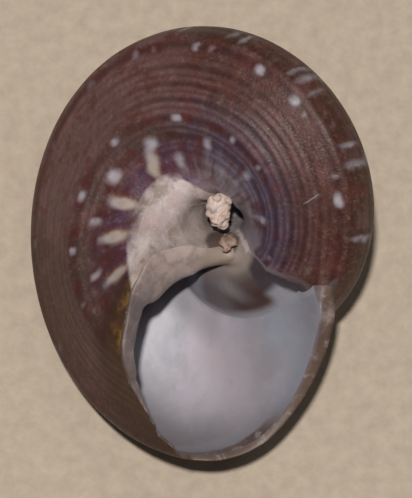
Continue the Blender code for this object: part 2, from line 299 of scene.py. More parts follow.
def innerProfile(s, knots, points, share, seam, rim):
    # the inner face of the wall: the outer profile moved in by the thickness, ending on the whorl before
    fine = np.linspace(0, 1, 400)
    outer = spline(knots, points, fine)
    knotsTotal = chordLengths(points)[-1]
    along = np.gradient(outer, axis=0)
    along /= np.linalg.norm(along, axis=1)[:, None]
    inward = np.stack([along[:, 1], -along[:, 0]], -1)
    wall = np.array(s["wall"])
    at = share[rim]
    extra, fade = s["seamFill"]
    thick = np.interp(fine * knotsTotal, wall[:, 0], wall[:, 1]) + extra * np.exp(-((fine / fade) ** 2))
    moved = outer + inward * thick[:, None]
    growth, cross = s["whorlGrowth"], s["rimColumns"]
    before = spline(knots, points, np.linspace(share[seam], at, 400)) / growth
    ends = spline(knots, points, [share[seam + cross], share[rim - cross]]) / growth
    clear = np.array([np.hypot(*(before - p).T).min() for p in moved])
    fromWhorl, fromSeam, fromRim, fromSkin = s["innerClearance"]
    toSeam, toRim = (np.hypot(*(moved - end).T) for end in ends)
    far = (clear > fromWhorl) & (toSeam > fromSeam) & (toRim > fromRim)
    # no loops inside the corners
    far &= np.array([np.hypot(*(outer - p).T).min() for p in moved]) > thick * fromSkin
    kept = np.flatnonzero(far)[::12]  # every twelfth is enough for the spline
    path = np.vstack([ends[0], moved[kept], ends[1]])
    length = chordLengths(path)
    across = np.interp(share, np.r_[0.0, fine[kept], 1.0], length)  # the point that faces each outer one
    return spline(length, path, across)


def withCallus(s, outer, share, angles):
    # the outer profile at each row, with the callus laid over the umbilical side of the last whorl
    profile = np.repeat(outer[None], len(angles), axis=0)
    size = (s["whorlGrowth"] ** (angles / 360.0))[..., None]
    start = spline(share, outer, [s["padFrom"]])[0] * size
    end, edgeRadius = outer[-1] * size, np.interp(angles, *np.array(s["padEdgeRadius"]).T)
    edge = np.stack([edgeRadius, np.full_like(edgeRadius, s["padEdgeHeight"])], -1)
    out = ((share - s["padFrom"]) / (s["padEdge"] - s["padFrom"])).clip(0, 1)[None, :, None]
    shoulder = start - (s["padShoulder"], 0.0)
    pad = (1 - out) ** 2 * start + 2 * out * (1 - out) * shoulder + out**2 * edge
    back = ((share - s["padEdge"]) / (1 - s["padEdge"])).clip(0, 1)[None, :, None]
    turnIn = edge + (edge - shoulder) * s["padTurnIn"]
    under = (1 - back) ** 2 * edge + 2 * back * (1 - back) * turnIn + back**2 * end
    pad = np.where(back > 0, under, pad) / size
    thin, gone = s["padReach"]
    on = smooth((angles - gone) / (thin - gone)) * (share >= s["padFrom"])
    on = on * smooth((angles[0] - angles) / s["padRunIn"])
    return profile + (pad - profile) * on[..., None]


def lipBevelAt(s, share, total):
    # how far the inner edge of the lip lies behind the outer one, in degrees, fading out at the corners
    wall = np.array(s["wall"])
    bevel = np.interp(share * total, wall[:, 0], wall[:, 2])
    return bevel * smooth(np.minimum(share, 1 - share) / s["cornerFade"])


def flatShell(s):
    # the surface before it is wound, as radius, growth angle and height of one whorl at full size: faces
    # are joined as they will touch, and points hold what the winding and the colours need to know
    knots, points, seamAt, rimAt = whorlProfile(s)
    total = chordLengths(points)[-1]
    share, seam, rim = columnShares(s, seamAt, rimAt, total)
    last, turn, cross = len(share) - 1, s["turnRows"], s["rimColumns"]
    outer = spline(knots, points, share)
    inner = innerProfile(s, knots, points, share, seam, rim)
    outer[:, 0] -= s["umbilicusFunnel"] * np.sin(np.pi * ((share - rimAt) / (1 - rimAt)).clip(0, 1) ** 0.5)
    spireRows, umbilicusRows = round(s["spireTurns"] * turn), round(s["umbilicusTurns"] * turn)
    cavityRows = round(s["cavityTurns"] * turn)
    rows = np.arange(spireRows + turn + 1)
    angles = rowAngles(s, share, rows, seamAt, rimAt)
    ends = smooth(np.minimum(share, 1 - share) / s["cornerFade"])
    arc, wall = share * total, np.array(s["wall"])

    def strip(shape, turned):
        # radius, height, growth angle and distance of each point
        return np.concatenate([shape, turned[..., None], np.broadcast_to(arc, turned.shape)[..., None]], -1)

    skin = strip(withCallus(s, outer, share, angles), angles)
    liningAngles = angles[: cavityRows + 1].copy()
    liningAngles[0] -= lipBevelAt(s, share, total)
    lining = strip(np.broadcast_to(inner, (cavityRows + 1, *inner.shape)), liningAngles)

    verts, kinds, index = [], [], {}

    def keep(key, value, kind):
        if key not in index:
            index[key] = len(verts)
            verts.append(value)
            kinds.append(kind)
        return index[key]

    def skinPoint(column, row):
        if column == 0:
            column, row = seam, row + turn
        elif column == last:
            column, row = rim, row + turn
        return keep((0, column, row), skin[row, column], 0)

    def liningPoint(column, row):
        if column == 0:
            return skinPoint(seam + cross, row + turn)
        if column == last:
            return skinPoint(rim - cross, row + turn)
        return keep((1, column, row), lining[row, column], 1)

    def rimPoint(column, across):
        if across == 0:
            return skinPoint(column, 0)
        if across == cross:
            return liningPoint(column, 0)
        if column == 0:
            return skinPoint(seam + across, turn)
        if column == last:
            return skinPoint(rim - across, turn)
        part = (1 - math.cos(math.pi * across / cross)) / 2
        value = skin[0, column] * (1 - part) + lining[0, column] * part
        thick = np.interp(arc[column], wall[:, 0], wall[:, 1])
        bulge = min(s["lipRoundness"] * thick, s["lipMaxBulge"])
        bulge = bulge * math.sin(math.pi * across / cross) * ends[column]
        value[2] += math.degrees(bulge / (value[0] * sizeAt(s, value[2])))
        return keep((2, column, across), value, 2)

    faces, maps, zones = [], [], []

    def addFace(corners, zone, flip=False):
        # corners: (point number, growth angle, profile distance) with repeated points dropped
        kept = [c for i, c in enumerate(corners) if c[0] != corners[i - 1][0]]
        if len(kept) > 2:
            kept = kept[::-1] if flip else kept
            faces.append([c[0] for c in kept])
            maps.extend((c[1], c[2]) for c in kept)
            zones.append(zone)

    def sheet(point, source, zone, firstColumn, endColumn, firstRow, endRow, flip=False):
        for row in range(firstRow, endRow):
            for column in range(firstColumn, endColumn):
                around = ((column, row), (column + 1, row), (column + 1, row + 1), (column, row + 1))
                addFace([(point(c, r), source[r, c, 2], source[r, c, 3]) for c, r in around], zone, flip)

    sheet(skinPoint, skin, 0, 0, last, 0, turn)
    sheet(skinPoint, skin, 0, 0, seam, turn, spireRows)
    sheet(skinPoint, skin, 0, rim, last, turn, umbilicusRows)
    sheet(skinPoint, skin, 0, seam + cross, rim - cross, turn, turn + cavityRows)
    sheet(liningPoint, lining, 1, 0, last, 0, cavityRows, flip=True)
    for column in range(last):
        for across in range(cross):
            around = ((column, across), (column, across + 1), (column + 1, across + 1), (column + 1, across))
            addFace([(rimPoint(c, a), angles[0, c], a / cross) for c, a in around], 2)

    def fan(loop, zone, apex=False, flip=False):
        loop = list(dict.fromkeys(loop))
        values = np.array([verts[i] for i in loop])
        place = woundPlaces(s, values)
        centre = place.mean(axis=0)
        if apex:
            centre[2] = place[:, 2].max() * s["apexHeight"]
        near = values[:, 2].mean()
        angle = -math.degrees(math.atan2(centre[1], centre[0]))
        angle += 360 * round((near - angle) / 360)
        at = sizeAt(s, angle)
        value = np.array([math.hypot(*centre[:2]) / at, centre[2] / at, angle, values[:, 3].mean()])
        middle = keep(("fan", len(verts)), value, zone)
        for a, b in zip(loop, loop[1:] + loop[:1]):
            corners = [(i, verts[i][2], verts[i][3]) for i in (middle, a, b)]
            addFace(corners, zone, flip)

    tip = [skinPoint(c, spireRows) for c in range(seam, 0, -1)]
    tip += [skinPoint(0, r) for r in range(spireRows, spireRows - turn, -1)]
    fan(tip, 0, apex=True, flip=True)
    pit = [skinPoint(c, umbilicusRows) for c in range(rim, last)]
    pit += [skinPoint(last, r) for r in range(umbilicusRows, umbilicusRows - turn, -1)]
    fan(pit, 0)
    back = [liningPoint(c, cavityRows) for c in range(last)]
    back += [skinPoint(c, cavityRows + turn) for c in range(rim - cross, seam + cross, -1)]
    fan(back, 1, flip=True)

    verts = np.array(verts)
    # where the lip and the lining run onto the whorl before, the corners are blended
    wound = woundPlaces(s, verts)
    joins = []
    for column, radius in zip((0, last), s["joinRadius"]):
        away = np.linalg.norm(wound - wound[rimPoint(column, cross // 2)], axis=1)
        joins.append(smooth(1.3 * (1 - away / radius)))
    lipAngle = np.interp(verts[:, 3], arc, angles[0])
    behindLip = lipAngle - verts[:, 2]
    corner = s["cornerSoftness"] * (np.array(kinds) == 1) * (1 - smooth(verts[:, 3] / s["cornerReach"]))
    corner = corner * smooth(behindLip / s["cornerStart"])
    callus, glaze = np.array(s["callusLine"]), np.array(s["glazeLine"])
    told = {
        "growthAngle": verts[:, 2],
        "profileMm": verts[:, 3],
        "behindLip": behindLip,
        "callusMm": verts[:, 3] - np.interp(verts[:, 2], callus[:, 0], callus[:, 1]),
        "glazeDeg": verts[:, 2] - np.interp(verts[:, 3], glaze[:, 0], glaze[:, 1]),
        "isSkin": (np.array(kinds) == 0).astype(float),
        "softJoin": np.maximum(np.maximum(*joins), corner),
        "columellaEnd": joins[1],
    }
    mesh = bpy.data.meshes.new("shellFlat")
    mesh.from_pydata(verts[:, [0, 2, 1]].tolist(), [], faces)
    for name, values in told.items():
        mesh.attributes.new(name, "FLOAT", "POINT").data.foreach_set("value", values.astype(np.float32))
    mesh.attributes.new("zone", "INT", "FACE").data.foreach_set("value", np.array(zones, np.int32))
    growthMap = mesh.uv_layers.new(name="growthMap")
    growthMap.data.foreach_set("uv", np.array(maps, np.float32).ravel())
    mesh.polygons.foreach_set("use_smooth", [True] * len(mesh.polygons))
    print("shell surface:", len(verts), "points,", sum(len(f) - 2 for f in faces), "triangles")
    return mesh


shellFinish = {
    "cordHeight": 0.035,  # millimetres from groove to crest
    "growthLineHeight": 0.012,
    "callusLumpHeight": 0.2,
    "glazeRidgeHeight": 0.2,
    # its section across 40 degrees of growth, from inside the mouth outwards
    "glazeRidge": (
        (0.0, 0.15), (0.33, 0.15), (0.4, 0.2), (0.49, 0.95), (0.51, 1.0), (0.54, 0.75), (0.62, 0.1),
        (0.68, 0.0), (1.0, 0.0),
    ),
    "seed": 7.0,  # of the growth lines
    "profileLength": 25.0,  # that the curves and colours over the profile are stretched over
    # spiral lines on a whorl: profile distance, half width, depth
    "cordLines": (
        (0.55, 0.16, 0.6), (1.35, 0.12, 0.8), (2.2, 0.12, 0.9), (3.1, 0.14, 0.9), (4.0, 0.14, 0.9),
        (4.95, 0.14, 0.9), (5.9, 0.14, 0.9), (6.85, 0.14, 0.8), (7.8, 0.14, 0.8), (8.7, 0.14, 0.8),
        (9.62, 0.26, 1.0), (10.38, 0.10, 0.35), (11.08, 0.17, 0.9), (11.68, 0.10, 0.45), (12.26, 0.17, 0.9),
        (12.76, 0.10, 0.5), (13.29, 0.19, 1.0), (13.86, 0.11, 0.5), (14.6, 0.25, 1.0), (15.3, 0.11, 0.7),
        (15.9, 0.26, 1.0), (16.42, 0.10, 0.5), (17.01, 0.22, 1.0), (17.75, 0.22, 0.8), (18.4, 0.2, 0.5),
    ),
    # soft patterns on object coordinates: scale per metre (1000 is about 1 mm), detail, roughness
    "patterns": {
        "slow": (330.0, 2.0, 0.5), "quick": (1500.0, 3.0, 0.6), "cloud": (560.0, 4.0, 0.6),
        "blotch": (1050.0, 3.0, 0.6), "grain": (2600.0, 3.0, 0.6), "speck": (7000.0, 2.0, 0.6),
        "enamel": (430.0, 5.0, 0.62), "film": (240.0, 3.0, 0.5),
    },
    "nacrePatterns": ((300.0, 5.0, 0.6), (2200.0, 3.0, 0.6), (240.0, 3.0, 0.5)),
    "lipPatterns": ((700.0, 5.0, 0.6), (1700.0, 4.0, 0.65)),
    # patterns drawn out along the growth lines: stretch over growth angle and distance, detail, roughness
    "drawnOut": {
        "streaks": ((0.55, 0.8, 1.0), 4.0, 0.7),
        "broken": ((0.11, 0.5, 1.0), 3.0, 0.5),
        "strokes": ((1.9, 3.4, 1.0), 3.0, 0.7),
    },
    "scratch": (-311.2, 11.7, 0.0),  # middle of the old scratch, as growth angle and distance
    # middle and scale of the two painted highlights on the callus
    "callusHighlights": (((-174.0, 19.6, 0.0), (0.075, 0.9, 0.0)), ((-98.0, 18.3, 0.0), (0.055, 0.6, 0.0))),
    "darkPatchExtent": ((1.1, 0.06, 0.0), (0.78, 0.74, 1.0)),  # centre and half size in millimetres, laid down
    "crestHighlight": ((2.02, 0.19, 0.0), math.radians(-20.0)),  # middle of the crest, and its turn to lie along Y
    # colours over the profile on the older and the newer side, on the callus, in the depth of the mouth,
    # on the nacre from the lip inwards, and across the lip where it is thin, thick and enamelled
    "olderRamp": (
        (0.0, "#4c3b2b"), (0.2, "#4f3a2c"), (0.33, "#4c3228"), (0.385, "#53322d"), (0.44, "#583631"),
        (0.51, "#563a3e"), (0.56, "#584859"), (0.64, "#6b617d"), (0.675, "#756d7b"), (0.70, "#857b84"),
        (0.76, "#a19fa6"), (1.0, "#a3a1a3"),
    ),
    "newerRamp": (
        (0.0, "#3b2c22"), (0.2, "#37251d"), (0.34, "#3c261e"), (0.40, "#482e29"), (0.48, "#533631"),
        (0.545, "#543a38"), (0.6, "#4e3b38"), (0.62, "#584743"), (0.64, "#523c40"), (0.69, "#573a52"),
        (0.74, "#5c3f57"), (1.0, "#8f7f78"),
    ),
    "callusRamp": (
        (0.3, "#8a7e75"), (0.42, "#ab9d99"), (0.5, "#beafae"), (0.58, "#cbbbbb"), (0.66, "#d6cbcc"),
        (0.78, "#e8e2e4"),
    ),
    "depthRamp": (
        (0.0, "#7a6a6a"), (0.2, "#55423c"), (0.38, "#503e3b"), (0.55, "#5f5150"), (0.68, "#7c716f"),
        (0.82, "#938a86"), (1.0, "#98908a"),
    ),
    "nacreRamp": (
        (0.05, "#90909a"), (0.2, "#9c9ca8"), (0.35, "#a5a4af"), (0.48, "#aaa5b0"), (0.6, "#bcb5c0"),
        (0.78, "#e2dbe6"), (0.96, "#eeeff8"),
    ),
    "thinLipRamp": (
        (0.0, "#2c201b"), (0.18, "#4e3a33"), (0.38, "#6d574e"), (0.7, "#6a574e"), (0.88, "#73666a"),
        (1.0, "#7c757e"),
    ),
    "thickLipRamp": (
        (0.0, "#3c2e27"), (0.12, "#5c4b44"), (0.3, "#776a6b"), (0.55, "#877b7d"), (0.8, "#857a7a"),
        (1.0, "#746b6e"),
    ),
    "columellaRamp": (
        (0.0, "#d2c2bd"), (0.2, "#cab6b0"), (0.55, "#c0ada7"), (0.85, "#b2a19a"), (1.0, "#95877f"),
    ),
    # milky pearl with weak clouds of rose and green, about 2 to 4 mm across
    "pearlRamp": ((0.3, "#9a9ea8"), (0.42, "#9f9fa9"), (0.5, "#a29eaa"), (0.58, "#a89ea8"), (0.7, "#a2a3ac")),
}

# pale flecks: profile distance and half width of a row, then growth angle, half width and strength of each
fleckRows = {
    "periphery": (9.72, 0.34, (
        (-313, 2.4, 1.0), (-304, 1.0, 0.5), (-279, 0.8, 0.5), (-272.5, 1.7, 0.95), (-255.5, 1.6, 0.95),
        (-235.5, 0.8, 0.45), (-230, 1.5, 0.7), (-213, 1.3, 0.2), (-205, 1.4, 0.3), (-184, 1.6, 0.15),
        (-160, 1.4, 0.1), (-128, 1.3, 0.15), (-96, 1.4, 0.1),
    )),
    "lineA": (14.6, 0.29, (
        (-286, 1.5, 0.45), (-264, 1.8, 0.7), (-226.5, 2.7, 0.9), (-184.5, 2.5, 0.75), (-149.5, 2.7, 0.75),
        (-122, 1.6, 0.65), (-95.5, 1.1, 0.3), (-352, 1.8, 0.3), (-384, 1.8, 0.6),
    )),
    "lineB": (15.95, 0.4, (
        (-325, 3.4, 0.6), (-285, 3.4, 0.45), (-247, 3.0, 0.7), (-203, 4.4, 0.95), (-166.5, 4.3, 0.95),
        (-135.5, 2.0, 0.65), (-104, 2.1, 0.75), (-390, 2.6, 0.6), (-362, 2.0, 0.4),
    )),
    "lineC": (16.9, 0.62, (
        (-323, 3.4, 0.3), (-283, 3.2, 0.15), (-249, 3.0, 0.15), (-197, 4.0, 0.9), (-150.5, 3.6, 0.95),
        (-124, 3.0, 0.9), (-94.5, 2.6, 0.8), (-376, 2.0, 0.5),
    )),
    "lineD": (17.62, 0.6, (
        (-266, 3.4, 0.1), (-221, 4.6, 0.7), (-190.5, 4.0, 0.85), (-151, 3.8, 0.9), (-122, 4.4, 0.85),
        (-91, 3.0, 0.85), (-374, 2.2, 0.5),
    )),
    "flank": (7.7, 1.1, (
        (-329, 1.2, 0.8), (-301.5, 1.3, 0.8), (-294.5, 1.0, 0.7), (-274, 0.9, 0.6), (-268, 0.9, 0.9),
        (-264.2, 0.8, 0.85), (-244, 0.9, 0.8), (-239, 0.8, 0.7), (-221.5, 1.1, 0.7), (-196, 1.2, 0.6),
        (-170, 1.2, 0.6), (-146, 1.1, 0.6), (-118, 1.4, 0.7), (-92, 1.1, 0.6), (-384, 1.2, 0.6),
    )),
    "shoulder": (4.6, 1.5, (
        (-330, 2.2, 0.7), (-300, 2.6, 0.8), (-268, 3.0, 0.9), (-240, 2.4, 0.8), (-212, 2.0, 0.7),
        (-186, 2.6, 0.8), (-152, 2.2, 0.8), (-121, 2.8, 0.8), (-97, 2.0, 0.7), (-362, 2.2, 0.8),
        (-391, 2.0, 0.7),
    )),
}
fleckPeriod = (-80.0, -320.0)  # where the flecks are counted from, and after how much growth they come again


def risingOnly(points):
    # drops the corners of a curve that would step back
    kept = []
    for x, y in points:
        if not kept or x > kept[-1][0]:
            kept.append((x, y))
    return kept


def grooveCurve(lines, first, last):
    # a trapezium for each line, over the stretch of profile from first to last
    corners = ((-1.5, 0.0), (-0.45, 1.0), (0.45, 1.0), (1.5, 0.0))
    points = [(at + step * half, depth * share) for at, half, depth in lines for step, share in corners]
    return risingOnly([((x - first) / (last - first), y) for x, y in points if first <= x <= last])


def windingTree(shape, finish, materials):
    up = Vector(shape["restUp"]).normalized()
    north = Vector(shape["restNorth"])
    north = (north - up * north.dot(up)).normalized()
    laid = Matrix((north.cross(up), north, up)).to_euler()
    waves = shape["unevenness"]
    values = {
        "Whorl Growth": shape["whorlGrowth"], "Wave Cos 1": waves[0], "Wave Sin 1": waves[1],
        "Wave Cos 2": waves[2], "Wave Sin 2": waves[3],
        "Laid Down": tuple(laid), "Rest Offset": shape["restOffset"],
        "Cord Height": finish["cordHeight"], "Growth Line Height": finish["growthLineHeight"],
        "Callus Lump Height": finish["callusLumpHeight"], "Glaze Ridge Height": finish["glazeRidgeHeight"],
        "Blend Passes": shape["joinPasses"], "Seed": finish["seed"],
    }
    tree, filled, given = startTree("windShell", values)
    told = {name: addNode(tree, "GeometryNodeInputNamedAttribute", {"Name": name}, data_type="FLOAT")
            for name in ("profileMm", "callusMm", "glazeDeg", "growthAngle", "isSkin", "softJoin")}

    # winding: the strip holds radius, growth angle and height, and the size grows with the angle
    strip = addNode(tree, "GeometryNodeInputPosition")
    radius, angle, height = addNode(tree, "ShaderNodeSeparateXYZ", (strip,), out=None).outputs
    turned = addNode(tree, "ShaderNodeMath", (angle, -math.pi / 180), operation="MULTIPLY")
    doubled = addNode(tree, "ShaderNodeMath", (turned, 2.0), operation="MULTIPLY")
    turns = addNode(tree, "ShaderNodeMath", (angle, 360.0), operation="DIVIDE")
    growth = addNode(tree, "ShaderNodeMath", (given["Whorl Growth"], turns), operation="POWER")
    wave = 1.0
    for number, around in enumerate((turned, doubled), 1):
        for swing, operation in (("Cos", "COSINE"), ("Sin", "SINE")):
            swung = addNode(tree, "ShaderNodeMath", (around,), operation=operation)
            terms = (swung, given[f"Wave {swing} {number}"], wave)
            wave = addNode(tree, "ShaderNodeMath", terms, operation="MULTIPLY_ADD")
    size = addNode(tree, "ShaderNodeMath", (growth, wave), operation="MULTIPLY")
    section = addNode(tree, "ShaderNodeCombineXYZ", (radius, 0.0, height))
    section = addNode(tree, "ShaderNodeVectorMath", {0: section, "Scale": size}, operation="SCALE")
    winding = {"Vector": section, "Angle": turned}
    wound = addNode(tree, "ShaderNodeVectorRotate", winding, rotation_type="Z_AXIS")
    laying = {"Vector": wound, "Rotation": given["Laid Down"]}
    laidDown = addNode(tree, "ShaderNodeVectorRotate", laying, rotation_type="EULER_XYZ")
    atRest = addNode(tree, "ShaderNodeVectorMath", (laidDown, given["Rest Offset"]), operation="ADD")
    solid = addNode(tree, "GeometryNodeSetPosition", {"Geometry": given["Geometry"], "Position": atRest})

    # relief on bare shell: spiral grooves between the cords, and growth lines across them
    onSkin, length = (told["isSkin"], 0.0, 1.0), finish["profileLength"]
    bare = softRegion(tree, (told["callusMm"], 0.3, -0.5), (told["glazeDeg"], -1.0, 5.0), onSkin)
    along = addNode(tree, "ShaderNodeMath", (told["profileMm"], length), operation="DIVIDE")
    corners = grooveCurve(finish["cordLines"], 0.0, length)
    grooves = addNode(tree, "ShaderNodeFloatCurve", {"Value": along}, points=corners)
    # cords are lower on the small whorls
    finer = addNode(tree, "ShaderNodeMath", (growth, 0.5), operation="POWER")
    depth = addNode(tree, "ShaderNodeMath", (finer, given["Cord Height"]), operation="MULTIPLY")
    grooves = addNode(tree, "ShaderNodeMath", (grooves, depth), operation="MULTIPLY")
    surface = addNode(tree, "ShaderNodeCombineXYZ", (angle, told["profileMm"], given["Seed"]))
    surface = addNode(tree, "ShaderNodeVectorMath", (surface, (0.9, 0.35, 1.0)), operation="MULTIPLY")
    fine = {"Vector": surface, "Scale": 1.0, "Detail": 3.0, "Roughness": 0.6}
    striae = addNode(tree, "ShaderNodeTexNoise", fine)
    striae = addNode(tree, "ShaderNodeMath", (striae, 2.0, -1.0), operation="MULTIPLY_ADD")
    lift = addNode(tree, "ShaderNodeMath", (striae, given["Growth Line Height"]), operation="MULTIPLY")
    lift = addNode(tree, "ShaderNodeMath", (lift, grooves), operation="SUBTRACT")
    relief = addNode(tree, "ShaderNodeMath", (lift, bare), operation="MULTIPLY")
    # soft lumps on the callus
    onCallus = softRegion(tree, (told["callusMm"], -0.15, 0.7), onSkin, (told["growthAngle"], -336.0, -334.0))
    coarse = {"Vector": atRest, "Scale": 0.85, "Detail": 4.0, "Roughness": 0.6}
    lumps = addNode(tree, "ShaderNodeTexNoise", coarse)
    lumps = addNode(tree, "ShaderNodeMath", (lumps, 0.5), operation="SUBTRACT")
    lumps = addNode(tree, "ShaderNodeMath", (lumps, given["Callus Lump Height"]), operation="MULTIPLY")
    relief = addNode(tree, "ShaderNodeMath", (lumps, onCallus, relief), operation="MULTIPLY_ADD")
    # a low ridge where the glaze inside the mouth ends on the whorl before
    fromEdge = addNode(tree, "ShaderNodeMapRange", {"Value": told["glazeDeg"], 1: -20.0, 2: 20.0})
    ridge = addNode(tree, "ShaderNodeFloatCurve", {"Value": fromEdge}, points=finish["glazeRidge"])
    inMouth = softRegion(tree, (told["profileMm"], 18.2, 17.0), (told["profileMm"], 9.0, 9.8), onSkin)
    ridge = addNode(tree, "ShaderNodeMath", (ridge, given["Glaze Ridge Height"]), operation="MULTIPLY")
    relief = addNode(tree, "ShaderNodeMath", (ridge, inMouth, relief), operation="MULTIPLY_ADD")
    outward = addNode(tree, "GeometryNodeInputNormal")
    offset = addNode(tree, "ShaderNodeVectorMath", {0: outward, "Scale": relief}, operation="SCALE")
    raised = addNode(tree, "GeometryNodeSetPosition", {"Geometry": solid, "Offset": offset})

    # the corners where the lip and the lining run onto the whorl before
    here = addNode(tree, "GeometryNodeInputPosition")
    blending = {"Value": here, "Weight": told["softJoin"], "Iterations": given["Blend Passes"]}
    blended = addNode(tree, "GeometryNodeBlurAttribute", blending, data_type="FLOAT_VECTOR")
    raised = addNode(tree, "GeometryNodeSetPosition", {"Geometry": raised, "Position": blended})
    endTree(tree, raised, *materials)
    return tree, filled


def endTree(tree, mesh, *materials):
    # metres, real faces, and a material for each zone
    inMetres = addNode(tree, "GeometryNodeTransform", {"Geometry": mesh, "Scale": (mm,) * 3})
    real = addNode(tree, "GeometryNodeRealizeInstances", (inMetres,))
    zone = addNode(tree, "GeometryNodeInputNamedAttribute", {"Name": "zone"}, data_type="INT")
    for number, material in enumerate(materials):
        both = {2: zone, 3: number}
        chosen = addNode(tree, "FunctionNodeCompare", both, data_type="INT", operation="EQUAL")
        painted = {"Geometry": real, "Selection": chosen, "Material": material}
        real = addNode(tree, "GeometryNodeSetMaterial", painted)
    addNode(tree, "NodeGroupOutput", (real,), out=None)


def growPiece(name, mesh, tree, values):
    # runs the tree on the mesh and keeps the result as a plain mesh with its place in its points
    source = bpy.data.objects.new(name + "Source", mesh)
    bpy.context.scene.collection.objects.link(source)
    modifier = source.modifiers.new("grow", "NODES")
    modifier.node_group = tree
    for identifier, value in values.items():
        modifier[identifier] = value
    graph = bpy.context.evaluated_depsgraph_get()
    evaluated = source.evaluated_get(graph)
    grown = bpy.data.meshes.new_from_object(evaluated, preserve_all_data_layers=True, depsgraph=graph)
    source.modifiers.remove(modifier)
    bpy.data.objects.remove(source)
    grown.name = name
    piece = bpy.data.objects.new(name, grown)
    bpy.context.scene.collection.objects.link(piece)
    return piece


def startMaterial(name, patterns, told=()):
    # a material, its tree and shader, soft patterns on object coordinates, and what the mesh tells it
    material = bpy.data.materials.new(name)
    material.use_nodes = True
    tree = material.node_tree
    place = addNode(tree, "ShaderNodeTexCoord", out="Object")
    noises = []
    for scale, detail, rough in patterns:
        pattern = {"Vector": place, "Scale": scale, "Detail": detail, "Roughness": rough}
        noises.append(addNode(tree, "ShaderNodeTexNoise", pattern))
    told = [addNode(tree, "ShaderNodeAttribute", out="Fac", attribute_name=name) for name in told]
    return material, tree, tree.nodes["Principled BSDF"], noises, told


